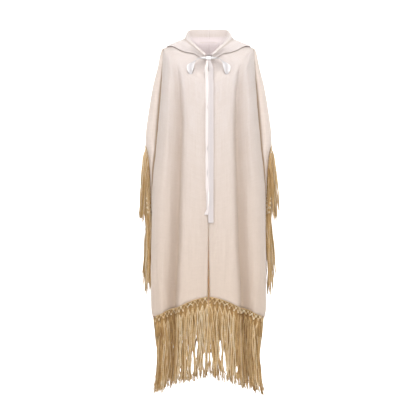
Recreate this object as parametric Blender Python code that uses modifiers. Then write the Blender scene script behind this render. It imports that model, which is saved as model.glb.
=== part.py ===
"""Knitted hooded poncho, worn shape, hollow, with satin bow and knotted fringe.

The front faces -Y, +Z is up and +X is the viewer's right. The origin lies at the base of
the neck, at shoulder height, where the wearer carries the garment. Sizes in the tables are
millimetres, which MM turns into metres.
"""
import math
from collections import namedtuple

import bmesh
import bpy
import numpy as np
from mathutils import Vector

MM = 0.001

# Cloth and seams
WALL = 2.4
SEAM_GAP = 0.3
FRINGE_GAP = 0.9
SEAM_FLAT = 5.0
HOOD_LIFT = 1.6
HOOD_CLEARANCE = 4.2
HOOD_FOLD_RADIUS = 4.4
HOOD_FRONT_END = 4.0
SLIT_HALF_TOP = 0.6
SLIT_HALF_HEM = 6.0
SLIT_OPENS = -640.0
HEM_HEIGHT = -1002.0

# Ribbon
RIBBON_WALL = 1.0
KNOT_SIZE = (20.0, 9.0, 14.0)
KNOT_AT = (0.0, -119.0, -47.0)
KNOT_ROUNDING = 3.0
TAIL_ROWS = 15
TAIL_ROWS_CLOSER_ON_TOP = 1.4
TAIL_TOP = -54.9
TAIL_GATHER = 0.48
TAIL_GATHER_HEIGHT = 40.0
TAIL_STANDS_AT_KNOT = 19.0
TAIL_SETTLES_OVER = 90.0
Tail = namedtuple("Tail", "name left_x right_x end_z lift")
TAILS = (
    Tail("ribbon_tail_left", -18.0, 3.0, -676.0, 4.0),
    Tail("ribbon_tail_right", -1.0, 20.0, -708.0, 5.5),
)

# Fringe
STRIP_HEIGHT = 3.6
FRINGE_PITCH_HEM = 22.0
FRINGE_PITCH_SIDE = 36.0
LOCK_SHARE = 0.56

# Height steps down the garment, from 0 at the neckline to 16 at the hem. The open side
# begins at step 10. The shoulder rows give the seam that front and back share.
OPEN_STEP = 10.0
HEM_STEP = 16.0
Side = namedtuple("Side", "step z x y")
SHOULDER = (
    Side(0.0, 8.0, 74.0, 20.0),
    Side(1.0, 2.0, 118.0, 20.0),
    Side(2.0, -5.0, 155.0, 20.0),
    Side(3.0, -11.0, 181.0, 20.0),
    Side(4.0, -36.0, 190.0, 20.0),
    Side(5.0, -82.0, 199.0, 20.0),
    Side(6.0, -153.0, 217.0, 20.0),
    Side(7.0, -218.0, 229.0, 20.0),
    Side(8.0, -290.0, 240.0, 20.0),
    Side(9.0, -345.0, 247.0, 20.0),
    Side(10.0, -392.0, 249.0, 20.0),
)
FRONT_EDGE = (
    Side(10.0, -392.0, 249.0, 20.0),
    Side(10.5, -425.0, 241.0, 2.0),
    Side(11.0, -480.0, 237.0, -8.0),
    Side(12.0, -590.0, 231.0, -16.0),
    Side(13.0, -710.0, 225.0, -24.0),
    Side(14.0, -840.0, 221.0, -32.0),
    Side(15.0, -960.0, 218.0, -40.0),
    Side(16.0, -1086.0, 204.0, -62.0),
)
BACK_EDGE = (
    Side(10.0, -392.0, 249.0, 20.0),
    Side(10.5, -425.0, 244.0, 38.0),
    Side(11.0, -480.0, 240.0, 48.0),
    Side(11.5, -535.0, 237.0, 53.0),
    Side(12.0, -590.0, 235.0, 56.0),
    Side(13.0, -710.0, 231.0, 64.0),
    Side(14.0, -840.0, 227.0, 70.0),
    Side(15.0, -960.0, 222.0, 76.0),
    Side(16.0, -1084.0, 208.0, 90.0),
)
Centre = namedtuple("Centre", "step z y")
FRONT_CENTRE = (
    Centre(0.0, -52.0, -92.0),
    Centre(1.0, -76.0, -104.0),
    Centre(2.0, -100.0, -112.0),
    Centre(3.0, -126.0, -119.0),
    Centre(4.0, -158.0, -126.0),
    Centre(5.0, -200.0, -132.0),
    Centre(6.0, -255.0, -138.0),
    Centre(7.0, -310.0, -142.0),
    Centre(8.0, -368.0, -145.0),
    Centre(9.0, -420.0, -147.0),
    Centre(10.0, -468.0, -149.0),
    Centre(11.0, -555.0, -151.0),
    Centre(12.0, -650.0, -153.0),
    Centre(13.0, -745.0, -155.0),
    Centre(14.0, -840.0, -158.0),
    Centre(15.0, -925.0, -160.0),
    Centre(16.0, -1002.0, -162.0),
)
BACK_CENTRE = (
    Centre(0.0, 16.0, 64.0),
    Centre(1.0, -20.0, 90.0),
    Centre(2.0, -58.0, 108.0),
    Centre(3.0, -95.0, 119.0),
    Centre(4.0, -132.0, 126.0),
    Centre(5.0, -178.0, 130.0),
    Centre(6.0, -236.0, 133.0),
    Centre(7.0, -296.0, 135.0),
    Centre(8.0, -355.0, 137.0),
    Centre(9.0, -410.0, 139.0),
    Centre(10.0, -458.0, 140.0),
    Centre(11.0, -552.0, 142.0),
    Centre(12.0, -650.0, 144.0),
    Centre(13.0, -750.0, 147.0),
    Centre(14.0, -855.0, 150.0),
    Centre(15.0, -950.0, 153.0),
    Centre(16.0, -1045.0, 157.0),
)

# Front folds by height: fold_x is where the inner panel rolls over, fold_depth how far the
# valley behind it sinks, crest_set how far the outer lobe lies behind the centre, roll_x and
# roll_y the outer roll of the front, and crease how far the cloth sinks behind that roll.
FrontFold = namedtuple("FrontFold", "z fold_x fold_depth crest_set roll_x roll_y crease")
FRONT_FOLDS = (
    FrontFold(-1100.0, 125.0, 48.0, 24.0, 212.0, -88.0, 10.0),
    FrontFold(-1050.0, 126.0, 47.0, 24.0, 228.0, -88.0, 16.0),
    FrontFold(-920.0, 121.0, 44.0, 23.0, 231.0, -87.0, 22.0),
    FrontFold(-840.0, 117.0, 42.0, 22.0, 230.0, -86.0, 24.0),
    FrontFold(-728.0, 113.0, 40.0, 21.0, 228.0, -84.0, 25.0),
    FrontFold(-584.0, 109.0, 37.0, 20.0, 226.0, -80.0, 26.0),
    FrontFold(-400.0, 104.0, 34.0, 18.0, 209.0, -74.0, 27.0),
    FrontFold(-308.0, 102.0, 31.0, 16.0, 201.0, -68.0, 26.0),
    FrontFold(-216.0, 106.0, 24.0, 14.0, 195.0, -58.0, 23.0),
    FrontFold(-124.0, 113.0, 12.0, 12.0, 187.0, -42.0, 17.0),
    FrontFold(-60.0, 118.0, 4.0, 10.0, 182.0, -26.0, 10.0),
    FrontFold(20.0, 120.0, 0.0, 10.0, 176.0, -10.0, 4.0),
)
FOLD_FADE_START = 1.2
FOLD_FADE_END = 4.6

# Stations across half the front, from the centre edge to the side. drop is the share of the
# way from the centre height to the side height, turn the place on the plain unfolded curve.
Station = namedtuple("Station", "name drop turn pieces")
FRONT_STATIONS = (
    Station("centre", 0.0, 0.0, 1),
    Station("inner", 0.10, 0.15, 1),
    Station("inner_crest", 0.28, 0.31, 1),
    Station("fold_shoulder", 0.45, 0.42, 1),
    Station("fold_edge", 0.49, 0.47, 1),
    Station("valley", 0.53, 0.51, 1),
    Station("valley_rise", 0.59, 0.57, 1),
    Station("lobe_rise", 0.67, 0.63, 2),
    Station("lobe_crest", 0.78, 0.71, 2),
    Station("lobe_fall", 0.90, 0.79, 2),
    Station("roll", 0.97, 0.85, 1),
    Station("crease", 0.99, 0.89, 1),
    Station("wing_front", 1.0, 0.93, 2),
    Station("wing_corner", 1.0, 0.97, 1),
    Station("side_flat", 1.0, 0.99, 1),
    Station("side", 1.0, 1.0, 1),
)
FRONT_STEPS = (0.0, 1.0, 2.0, 2.6, 3.3, 4.0, 4.8, 5.6, 6.5, 7.5, 8.7, 10.0, 10.5, 11.2, 12.3, 13.5, 14.7,
               15.6, 16.0)

# Folds of the back: across is the place between the centre (0) and a side (1 or -1), wide
# the half width, deep how far it sinks at the hem, starts and full the heights where it
# begins and reaches its depth.
BackFold = namedtuple("BackFold", "across wide deep starts full")
BACK_FOLDS = (
    BackFold(-0.74, 0.17, 21.0, -170.0, -620.0),
    BackFold(-0.36, 0.17, 30.0, -260.0, -760.0),
    BackFold(0.02, 0.13, 16.0, -420.0, -900.0),
    BackFold(0.40, 0.16, 33.0, -220.0, -700.0),
    BackFold(0.77, 0.17, 19.0, -190.0, -640.0),
)
BACK_HALF_COLUMNS = 14
BACK_STEPS = (0.0, 1.0, 2.0, 3.0, 4.0, 5.0, 6.2, 7.5, 8.7, 10.0, 10.5, 11.2, 12.3, 13.5, 14.7, 15.6,
              16.0)
ROUNDNESS = 0.72

# Hood, lying down, from the front point (place 0) over the shoulder (1) to the centre back
# (2), and one row past it, mirrored. fold_step is how far down the garment its lower fold
# lies, pouch how far its upper layer stands out, then the crease beside the face roll, the
# crest of the roll and its free edge.
Hood = namedtuple(
    "Hood", "place fold_step pouch crease_x crease_y crease_z crest_x crest_y crest_z "
    "edge_x edge_y edge_z")
HOOD_ROWS = (
    Hood(0.00, 0.25, 0.5, 9.0, -112.0, -44.0, 7.5, -111.0, -38.0, 5.0, -102.0, -37.0),
    Hood(0.35, 0.55, 2.0, 47.0, -99.5, -12.0, 41.0, -96.5, -5.0, 34.0, -86.5, -16.0),
    Hood(0.70, 1.55, 3.0, 73.0, -66.0, 10.0, 66.0, -60.0, 18.0, 55.0, -46.0, 3.0),
    Hood(1.00, 2.00, 3.0, 95.0, -6.0, 28.0, 84.0, 0.0, 48.0, 66.0, 2.0, 25.0),
    Hood(1.35, 3.00, 6.0, 96.0, 56.0, 28.0, 76.0, 56.0, 59.0, 61.0, 42.0, 25.0),
    Hood(1.70, 5.30, 26.0, 62.0, 103.0, 32.0, 50.0, 90.0, 65.0, 38.0, 69.0, 26.0),
    Hood(2.00, 6.50, 32.0, 0.0, 118.0, 30.0, 0.0, 99.0, 66.0, 0.0, 75.0, 27.0),
    Hood(2.30, 5.30, 26.0, -62.0, 103.0, 32.0, -50.0, 90.0, 65.0, -38.0, 69.0, 26.0),
)
HOOD_PLACES = (0.05, 0.2, 0.33, 0.44, 0.54, 0.64, 0.74, 0.86, 1.0, 1.08, 1.17, 1.27, 1.38, 1.52, 1.68,
               1.84, 1.975, 2.0)
HOOD_UNDER_STEPS = 6
HOOD_LIFT_GROWS = 2.0
HOOD_UPPER_SHARES = (0.36, 0.68)
HOOD_UPPER_POUCH = (1.0, 0.8)
NORMAL_SPAN = 0.04
CHEST_MIDDLE = (0.0, 20.0, -150.0)

# Ribbon loop from the knot, out and down to its fold and back behind: the place of its
# middle, and half its width across and upright.
Loop = namedtuple("Loop", "x y z across upright")
LOOP_ROWS = (
    Loop(10.6, -124.0, -48.0, 0.0, 5.5),
    Loop(28.0, -123.5, -49.0, 0.5, 7.5),
    Loop(46.0, -121.5, -50.5, 2.0, 8.0),
    Loop(60.0, -120.5, -58.0, 7.0, 6.5),
    Loop(67.0, -123.0, -75.0, 12.0, 2.5),
    Loop(68.5, -125.5, -97.0, 15.0, 0.0),
    Loop(68.5, -122.5, -108.0, 14.0, 0.0),
    Loop(68.0, -119.5, -97.0, 13.0, 0.0),
    Loop(66.0, -117.0, -77.0, 11.0, 2.5),
    Loop(58.0, -114.5, -62.0, 6.0, 5.0),
    Loop(44.0, -115.0, -55.0, 2.0, 6.0),
    Loop(27.0, -117.0, -52.5, 0.5, 5.5),
    Loop(10.6, -118.5, -50.0, 0.0, 4.0),
)

# Fringe. On the open sides each lock leaves its edge, falls, and leans clear of the ones
# below, in two layers. It leans outwards above SIDE_TURN and into the open side below, where
# it also tucks in behind the front.
Lean = namedtuple("Lean", "z out")
SIDE_LEANS = (
    Lean(-690.0, 15.0),
    Lean(-500.0, 17.0),
    Lean(-460.0, 20.0),
    Lean(-425.0, 27.0),
    Lean(-392.0, 30.0),
)
SIDE_LOCK_LENGTH = 282.0
SIDE_FRINGE_STEPS = (10.5, 15.6)
SIDE_TURN = -690.0
SIDE_LEAN_IN = 22.0
SIDE_TUCK = 15.0
SIDE_LEAN_BY_BEND = 0.25
SIDE_HANG_FRONT = -12.0
SIDE_HANG_BACK = 52.0
SIDE_LOCK_HALF_THICK = 2.1
SIDE_LOCK_HALF_WIDE = 2.8
SIDE_LOCK_TAPER = 0.85
SIDE_LAYER = 4.2
SIDE_STAND = 7.0
KNOT_DROP = 5.6
BEND_DROP = 34.0
HEM_TIP_CENTRE = -1309.0
HEM_TIP_CORNER = -1389.0
HEM_CORNER_X = 209.0
HEM_SPLAY_FRONT = 4.0
HEM_SPLAY_BACK = 13.0
HEM_LENGTH_VARIES = 5.0
HEM_KNOT_DROP = 17.0
HEM_LOCK_WIDE = 7.8
HEM_LOCK_THICK = 2.8
HEM_KNOT_FULLER = 1.25
HEM_TIP_WIDE = 0.92
HEM_TIP_THIN = 0.7
BACK_TIP_CENTRE = -1345.0

PONCHO = "knitted_poncho"


def slopes(keys, values):
    """Slopes that keep a curve through the values from overshooting them."""
    rates = np.diff(values) / np.diff(keys)
    result = np.zeros(len(values))
    result[0] = rates[0]
    result[-1] = rates[-1]
    for i in range(1, len(values) - 1):
        if rates[i - 1] * rates[i] > 0.0:
            result[i] = 2.0 / (1.0 / rates[i - 1] + 1.0 / rates[i])
    return result


def read(rows, column, at):
    """Read a column of a table between its rows, along a smooth curve."""
    keys = np.array([row[0] for row in rows])
    values = np.array([getattr(row, column) for row in rows])
    at = min(max(at, keys[0]), keys[-1])
    i = min(int(np.searchsorted(keys, at, side="right")) - 1, len(keys) - 2)
    slope = slopes(keys, values)
    span = keys[i + 1] - keys[i]
    t = (at - keys[i]) / span
    start = (1 + 2 * t) * (1 - t) ** 2 * values[i] + t * (1 - t) ** 2 * span * slope[i]
    end = t * t * (3 - 2 * t) * values[i + 1] + t * t * (t - 1) * span * slope[i + 1]
    return float(start + end)


def ease(value):
    """A smooth step from 0 to 1."""
    value = min(max(value, 0.0), 1.0)
    return value * value * (3.0 - 2.0 * value)


def mix(a, b, share):
    """The value a share of the way from a to b."""
    return a + (b - a) * share


def through(points, pieces):
    """A smooth curve through points, each span cut into its own number of pieces."""
    points = [Vector(point) for point in points]
    result = []
    for i in range(len(points) - 1):
        before = points[i - 1] if i else points[i] * 2 - points[i + 1]
        after = points[i + 2] if i + 2 < len(points) else points[i + 1] * 2 - points[i]
        a, b = points[i], points[i + 1]
        span = (b - a).length
        left = (a - before).length
        right = (after - b).length
        start = ((b - a) / span * left + (a - before) / left * span) / (left + span) * span
        end = ((after - b) / right * span + (b - a) / span * right) / (right + span) * span
        for k in range(pieces[i]):
            t = k / pieces[i]
            result.append(
                a * (2 * t ** 3 - 3 * t ** 2 + 1) + start * (t ** 3 - 2 * t ** 2 + t)
                + b * (3 * t ** 2 - 2 * t ** 3) + end * (t ** 3 - t ** 2))
    result.append(points[-1])
    return result


def side_point(edge_rows, step, gap):
    """The side of a panel at a step: shoulder seam above the opening, free edge below."""
    rows = SHOULDER if step <= OPEN_STEP else edge_rows
    return read(rows, "x", step), read(rows, "y", step) + gap, read(rows, "z", step)


def plain_curve(half_x, side_y, centre_y, turn):
    """The unfolded plan curve from the centre (turn 0) to the side (turn 1)."""
    angle = turn * math.pi / 2
    x = half_x * math.sin(angle)
    y = side_y + (centre_y - side_y) * max(math.cos(angle), 0.0) ** ROUNDNESS
    return x, y


def slit_half(z):
    """Half the opening between the two front edges."""
    return mix(SLIT_HALF_TOP, SLIT_HALF_HEM, ease((SLIT_OPENS - z) / (SLIT_OPENS - HEM_HEIGHT)))


def folded_station(name, z, centre_y, side_x, side_y):
    """Plan place of a station on the folded front at a height."""
    fold_x = read(FRONT_FOLDS, "fold_x", z)
    depth = read(FRONT_FOLDS, "fold_depth", z)
    roll_x = read(FRONT_FOLDS, "roll_x", z)
    roll_y = read(FRONT_FOLDS, "roll_y", z)
    crease_y = roll_y + read(FRONT_FOLDS, "crease", z)
    crest_x = mix(fold_x, roll_x, 0.56)
    crest_y = centre_y + read(FRONT_FOLDS, "crest_set", z)
    valley_y = centre_y + max(depth, 4.0) + 4.0
    places = {
        "centre": (slit_half(z), centre_y + 1.0),
        "inner": (0.34 * fold_x, centre_y - 3.0),
        "inner_crest": (0.68 * fold_x, centre_y - 1.0),
        "fold_shoulder": (0.92 * fold_x, centre_y + 2.0 + 0.14 * depth),
        "fold_edge": (fold_x, centre_y + 3.0 + 0.50 * depth),
        "valley": (fold_x + 7.0, valley_y),
        "valley_rise": (mix(fold_x, crest_x, 0.44), mix(valley_y, crest_y, 0.14)),
        "lobe_rise": (mix(fold_x, crest_x, 0.74), mix(valley_y, crest_y, 0.68)),
        "lobe_crest": (crest_x, crest_y),
        "lobe_fall": (mix(crest_x, roll_x, 0.62), mix(crest_y, roll_y, 0.30)),
        "roll": (roll_x, roll_y),
        "crease": (roll_x - 3.0, crease_y),
        "wing_front": (mix(roll_x, side_x, 0.50), mix(crease_y, side_y, 0.16)),
        "wing_corner": (mix(roll_x, side_x, 0.86), mix(crease_y, side_y, 0.62)),
        "side_flat": (side_x, side_y - SEAM_FLAT),
        "side": (side_x, side_y),
    }
    return places[name]


def front_keys(step):
    """Key points of half the front at a step, from the centre edge to the side."""
    side_x, side_y, side_z = side_point(FRONT_EDGE, step, -SEAM_GAP / 2)
    centre_z = read(FRONT_CENTRE, "z", step)
    centre_y = read(FRONT_CENTRE, "y", step)
    fade = ease((step - FOLD_FADE_START) / (FOLD_FADE_END - FOLD_FADE_START))
    keys = []
    for station in FRONT_STATIONS:
        z = mix(centre_z, side_z, station.drop)
        x, y = plain_curve(side_x, side_y, centre_y, station.turn)
        if station.name == "centre":
            x = slit_half(z)
        if station.name == "side_flat":
            x, y = side_x, side_y - SEAM_FLAT
        fx, fy = folded_station(station.name, z, centre_y, side_x, side_y)
        keys.append(Vector((mix(x, fx, fade), mix(y, fy, fade), z)))
    return keys


def front_row(step):
    """One row of half the front."""
    return through(front_keys(step), [station.pieces for station in FRONT_STATIONS[:-1]])


def back_point(step, across):
    """A point of the back: across runs from -1 at one side to 1 at the other."""
    side_x, side_y, side_z = side_point(BACK_EDGE, step, SEAM_GAP / 2)
    centre_y = read(BACK_CENTRE, "y", step)
    z = mix(read(BACK_CENTRE, "z", step), side_z, ease(abs(across)))
    x, y = plain_curve(side_x, side_y, centre_y, abs(across))
    x = math.copysign(x, across)
    sink = 0.0
    for fold in BACK_FOLDS:
        near = max(1.0 - ((across - fold.across) / fold.wide) ** 2, 0.0)
        grown = ease((fold.starts - z) / (fold.starts - fold.full))
        sink += fold.deep * grown * near * near
    inward = Vector((-x, side_y - y, 0.0)).normalized()
    return Vector((x, y, z)) + inward * sink


def back_row(step):
    """One row of the back, from the viewer's left to the right."""
    columns = range(1 - BACK_HALF_COLUMNS, BACK_HALF_COLUMNS)
    row = [back_point(step, k / BACK_HALF_COLUMNS) for k in columns]
    x, y, z = side_point(BACK_EDGE, step, SEAM_GAP / 2)
    left = [Vector((-x, y, z)), Vector((-x, y + SEAM_FLAT, z))]
    right = [Vector((x, y + SEAM_FLAT, z)), Vector((x, y, z))]
    return left + row + right


def grid_mesh(name, rows, flip):
    """A sheet through rows of points, in metres."""
    mesh = bpy.data.meshes.new(name)
    work = bmesh.new()
    verts = [[work.verts.new(point * MM) for point in row] for row in rows]
    for upper, lower in zip(verts, verts[1:]):
        for k in range(len(upper) - 1):
            face = [upper[k], upper[k + 1], lower[k + 1], lower[k]]
            work.faces.new(face[::-1] if flip else face)
    work.to_mesh(mesh)
    work.free()
    return mesh


def add_part(mesh, material):
    """Put a mesh in the collection as a named object with its material."""
    part = bpy.data.objects.new(mesh.name, mesh)
    bpy.data.collections[PONCHO].objects.link(part)
    part.data.materials.append(material)
    for polygon in part.data.polygons:
        polygon.use_smooth = True
    return part


def thicken(part, wall):
    """Give a sheet its wall, towards the inside."""
    solid = part.modifiers.new("Wall", "SOLIDIFY")
    solid.thickness = wall * MM
    solid.offset = -1.0
    return part


def add_front(name, side, material):
    """Half the front, from centre edge to side, on one side (-1 viewer's left, 1 right)."""
    rows = []
    for step in FRONT_STEPS:
        rows.append([Vector((side * point.x, point.y, point.z)) for point in front_row(step)])
    return thicken(add_part(grid_mesh(name, rows, side > 0), material), WALL)


def add_back(name, material):
    """The back, one piece from side to side."""
    rows = [back_row(step) for step in BACK_STEPS]
    return thicken(add_part(grid_mesh(name, rows, False), material), WALL)


def panel_at(place, step, side):
    """A point of the worn garment: place 0 centre front, 1 shoulder, 2 centre back."""
    if place > 1.0:
        return back_point(step, side * (2.0 - place))
    keys = front_keys(step)
    turns = [station.turn for station in FRONT_STATIONS]
    x, y, z = (float(np.interp(place, turns, [key[axis] for key in keys])) for axis in range(3))
    return Vector((side * x, y, z))


def panel_normal(place, step, side):
    """The outward direction of the garment at a point."""
    low = max(place - NORMAL_SPAN, 0.0)
    high = min(place + NORMAL_SPAN, 2.0)
    along = panel_at(high, step, side) - panel_at(low, step, side)
    above = panel_at(place, max(step - NORMAL_SPAN, 0.0), side)
    down = panel_at(place, step + NORMAL_SPAN, side) - above
    normal = along.cross(down).normalized()
    outward = panel_at(place, step, side) - Vector(CHEST_MIDDLE)
    return normal if normal.dot(outward) > 0.0 else -normal


def hood_section(place, side):
    """The hood cut at a place: out over the garment, back over itself, and the face roll."""
    fold_step = read(HOOD_ROWS, "fold_step", place)
    pouch = read(HOOD_ROWS, "pouch", place)
    points = []
    for k in range(HOOD_UNDER_STEPS + 1):
        share = k / HOOD_UNDER_STEPS
        step = fold_step * share
        lift = mix(HOOD_LIFT, HOOD_CLEARANCE, min(share * HOOD_LIFT_GROWS, 1.0))
        points.append(panel_at(place, step, side) + panel_normal(place, step, side) * lift)
    foot = panel_at(place, fold_step, side)
    normal = panel_normal(place, fold_step, side)
    downward = (panel_at(place, fold_step + 0.1, side) - foot).normalized()
    radius = HOOD_FOLD_RADIUS
    points.append(foot + downward * radius + normal * (HOOD_CLEARANCE + radius))
    top = foot + normal * (HOOD_CLEARANCE + 2.0 * radius) - downward
    points.append(top)
    crease = hood_point("crease", place, side)
    middle = panel_normal(place, fold_step / 2.0, side)
    for share, fullness in zip(HOOD_UPPER_SHARES, HOOD_UPPER_POUCH):
        points.append(mix(top, crease, share) + middle * pouch * fullness)
    points.append(crease)
    points.append(hood_point("crest", place, side))
    points.append(hood_point("edge", place, side))
    return points


def hood_point(line, place, side):
    """A point of one of the hood's named lines."""
    x, y, z = (read(HOOD_ROWS, line + "_" + axis, place) for axis in "xyz")
    return Vector((side * x, y, z))


def add_hood(name, side, material):
    """Half the hood, from the front point round to the centre-back seam."""
    rows = []
    for place in HOOD_PLACES:
        section = hood_section(place, side)
        pieces = [1] * HOOD_UNDER_STEPS + [1, 1, 1, 1, 1, 2, 2]
        rows.append(through(section, pieces))
    for point, before in zip(rows[-1], rows[-2]):
        point.x = side * SEAM_GAP / 2
        point.y, point.z = before.y, before.z
    for point in rows[0]:
        point.x = side * max(side * point.x, HOOD_FRONT_END)
    return thicken(add_part(grid_mesh(name, rows, side > 0), material), WALL)


def front_face(x, z):
    """Depth of the front's outer face at a place, read from its rows."""
    depths = []
    for k in range(int(HEM_STEP) * 2 + 1):
        keys = front_keys(k / 2.0)
        across = [key.x for key in keys]
        reach = int(np.argmax(across)) + 1
        y = np.interp(x, across[:reach], [key.y for key in keys[:reach]])
        height = np.interp(x, across[:reach], [key.z for key in keys[:reach]])
        depths.append((height, y))
    depths.sort()
    return float(np.interp(z, [height for height, y in depths], [y for height, y in depths]))


def add_tail(tail, material):
    """A ribbon tail, gathered at the knot and hanging down the centre front."""
    rows = []
    for k in range(TAIL_ROWS + 1):
        z = mix(TAIL_TOP, tail.end_z, (k / TAIL_ROWS) ** TAIL_ROWS_CLOSER_ON_TOP)
        settled = ease((TAIL_TOP - z) / TAIL_SETTLES_OVER)
        y = front_face(0.0, z) - tail.lift - mix(TAIL_STANDS_AT_KNOT, 0.0, settled)
        gather = mix(TAIL_GATHER, 1.0, ease((TAIL_TOP - z) / TAIL_GATHER_HEIGHT))
        middle_x = (tail.left_x + tail.right_x) / 2.0
        sides = (tail.left_x * gather, middle_x * gather, tail.right_x * gather)
        rows.append([Vector((x, y, z)) for x in sides])
    return thicken(add_part(grid_mesh(tail.name, rows, False), material), RIBBON_WALL)


def add_loop(name, side, material):
    """A ribbon loop, drooping from the knot."""
    rows = []
    for loop in LOOP_ROWS:
        middle = Vector((side * loop.x, loop.y, loop.z))
        half = Vector((side * loop.across, 0.0, loop.upright))
        rows.append([middle - half, middle, middle + half])
    lines = []
    for line in zip(*rows):
        lines.append(through(line, [2] * (len(LOOP_ROWS) - 1)))
    return thicken(add_part(grid_mesh(name, list(zip(*lines)), side < 0), material), RIBBON_WALL)


def add_knot(name, material):
    """The wrapped middle of the bow, a soft rounded pad."""
    bpy.ops.mesh.primitive_cube_add(size=MM, location=[value * MM for value in KNOT_AT])
    knot = bpy.context.object
    knot.name = name
    knot.data.name = name
    knot.scale = KNOT_SIZE
    bpy.ops.object.transform_apply(location=False, rotation=False, scale=True)
    bevel = knot.modifiers.new("Rounding", "BEVEL")
    bevel.width = KNOT_ROUNDING * MM
    bevel.segments = 2
    for collection in list(knot.users_collection):
        collection.objects.unlink(knot)
    bpy.data.collections[PONCHO].objects.link(knot)
    knot.data.materials.append(material)
    return knot


def along_path(points, distance):
    """The place and direction at a distance along a path."""
    for a, b in zip(points, points[1:]):
        span = (b - a).length
        if distance <= span:
            return a + (b - a) * (distance / span), (b - a).normalized()
        distance -= span
    return points[-1].copy(), (points[-1] - points[-2]).normalized()


def ring(centre, along, across, half_along, half_across):
    """Four corners round a place, in the order in which every ring of a lock is made."""
    a = along * half_along
    b = across * half_across
    return [centre - a + b, centre + a + b, centre + a - b, centre - a - b]


def add_fringe(name, path, pitch, outward, leave, lock_rings, material):
    """A narrow strip along a cloth edge with separate locks that grow from its free face.

    outward gives the cloth's outer direction at a place, leave the direction away from the
    edge, and lock_rings the rings of one lock after its root.
    """
    length = sum((b - a).length for a, b in zip(path, path[1:]))
    count = int(length / pitch)
    work = bmesh.new()
    lines = []
    roots = []
    for i in range(count):
        middle = length * (i + 0.5) / count
        half = length / count * LOCK_SHARE / 2.0
        for end in (middle - half, middle + half):
            place, along = along_path(path, end)
            normal = outward(place, along)
            near = place + leave * FRINGE_GAP
            far = place + leave * (FRINGE_GAP + STRIP_HEIGHT)
            shift = normal * WALL / 2.0
            lines.append([work.verts.new(point * MM) for point in (
                near + shift, far + shift, far - shift, near - shift)])
        roots.append(along_path(path, middle))
    work.faces.new(lines[0])
    work.faces.new(lines[-1])
    for j, (a, b) in enumerate(zip(lines, lines[1:])):
        work.faces.new((a[0], b[0], b[1], a[1]))
        work.faces.new((a[2], b[2], b[3], a[3]))
        work.faces.new((a[3], b[3], b[0], a[0]))
        if j % 2:
            work.faces.new((a[1], b[1], b[2], a[2]))
    for i, (place, along) in enumerate(roots):
        a, b = lines[2 * i], lines[2 * i + 1]
        last = [a[1], b[1], b[2], a[2]]
        normal = outward(place, along)
        start = place + leave * (FRINGE_GAP + STRIP_HEIGHT)
        for corners in lock_rings(i, start, along, normal):
            verts = [work.verts.new(point * MM) for point in corners]
            for k in range(4):
                m = (k + 1) % 4
                work.faces.new((last[k], last[m], verts[m], verts[k]))
            last = verts
        work.faces.new(last)
    bmesh.ops.recalc_face_normals(work, faces=work.faces)
    mesh = bpy.data.meshes.new(name)
    work.to_mesh(mesh)
    work.free()
    part = add_part(mesh, material)
    part.data.set_sharp_from_angle(angle=math.radians(40.0))
    return part


def hem_locks(tip_centre, corner_splay):
    """Locks that hang from a hem, splayed a little at the corners."""
    def rings(index, start, along, normal):
        share = min(abs(start.x) / HEM_CORNER_X, 1.0)
        uneven = HEM_LENGTH_VARIES * math.sin(2.4 * index)
        tip_z = mix(tip_centre, HEM_TIP_CORNER, share) + uneven
        splay = Vector((math.copysign(corner_splay * share, start.x), 0.0, 0.0))
        knot = start + Vector((0.0, 0.0, -HEM_KNOT_DROP))
        tip = Vector((start.x, start.y, tip_z)) + splay
        along = Vector((along.x, along.y, 0.0)).normalized()
        return (
            ring(knot, along, normal, HEM_LOCK_WIDE, HEM_LOCK_THICK * HEM_KNOT_FULLER),
            ring(tip, along, normal, HEM_LOCK_WIDE * HEM_TIP_WIDE, HEM_LOCK_THICK * HEM_TIP_THIN),
        )
    return rings


def side_locks(leave):
    """Locks that leave an upright edge, fall, and lean clear of the locks below."""
    down = Vector((0.0, 0.0, -1.0))
    hang = SIDE_HANG_FRONT if leave.y > 0.0 else SIDE_HANG_BACK
    thick, wide = SIDE_LOCK_HALF_THICK, SIDE_LOCK_HALF_WIDE

    def rings(index, start, along, normal):
        layer = SIDE_LAYER if index % 2 else -SIDE_LAYER
        foot = start + leave * KNOT_DROP
        if start.z < SIDE_TURN:
            halves = (thick, wide)
            lean = leave * SIDE_LEAN_IN - normal * SIDE_TUCK
            foot = foot + leave * SIDE_STAND + normal * layer
        else:
            halves = (wide, thick)
            lean = normal * read(SIDE_LEANS, "out", start.z)
            foot = Vector((foot.x, hang + layer, foot.z)) + normal * SIDE_STAND
        knot = start + (leave + down) * KNOT_DROP
        bend = foot + down * BEND_DROP + lean * SIDE_LEAN_BY_BEND
        tip = foot + down * SIDE_LOCK_LENGTH + lean
        return (
            ring(knot, (down - leave).normalized(), normal, thick, thick),
            ring(bend, -leave, normal, halves[0], halves[1]),
            ring(tip, -leave, normal, halves[0] * SIDE_LOCK_TAPER, halves[1] * SIDE_LOCK_TAPER),
        )
    return rings


def plan_normal(toward):
    """Outward direction for an edge seen from above, on the side of a given direction."""
    def outward(place, along):
        normal = Vector((along.y, -along.x, 0.0)).normalized()
        return normal if normal.dot(toward(place)) > 0.0 else -normal
    return outward


def hem_path(row, outward):
    """The middle of the wall along a hem row."""
    path = []
    for i, point in enumerate(row):
        before = row[max(i - 1, 0)]
        after = row[min(i + 1, len(row) - 1)]
        path.append(point - outward(point, (after - before).normalized()) * WALL / 2.0)
    return path


def roll_column():
    """The column of the front's outer roll, where its hem turns back."""
    names = [station.name for station in FRONT_STATIONS]
    return sum(station.pieces for station in FRONT_STATIONS[:names.index("roll")])


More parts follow.
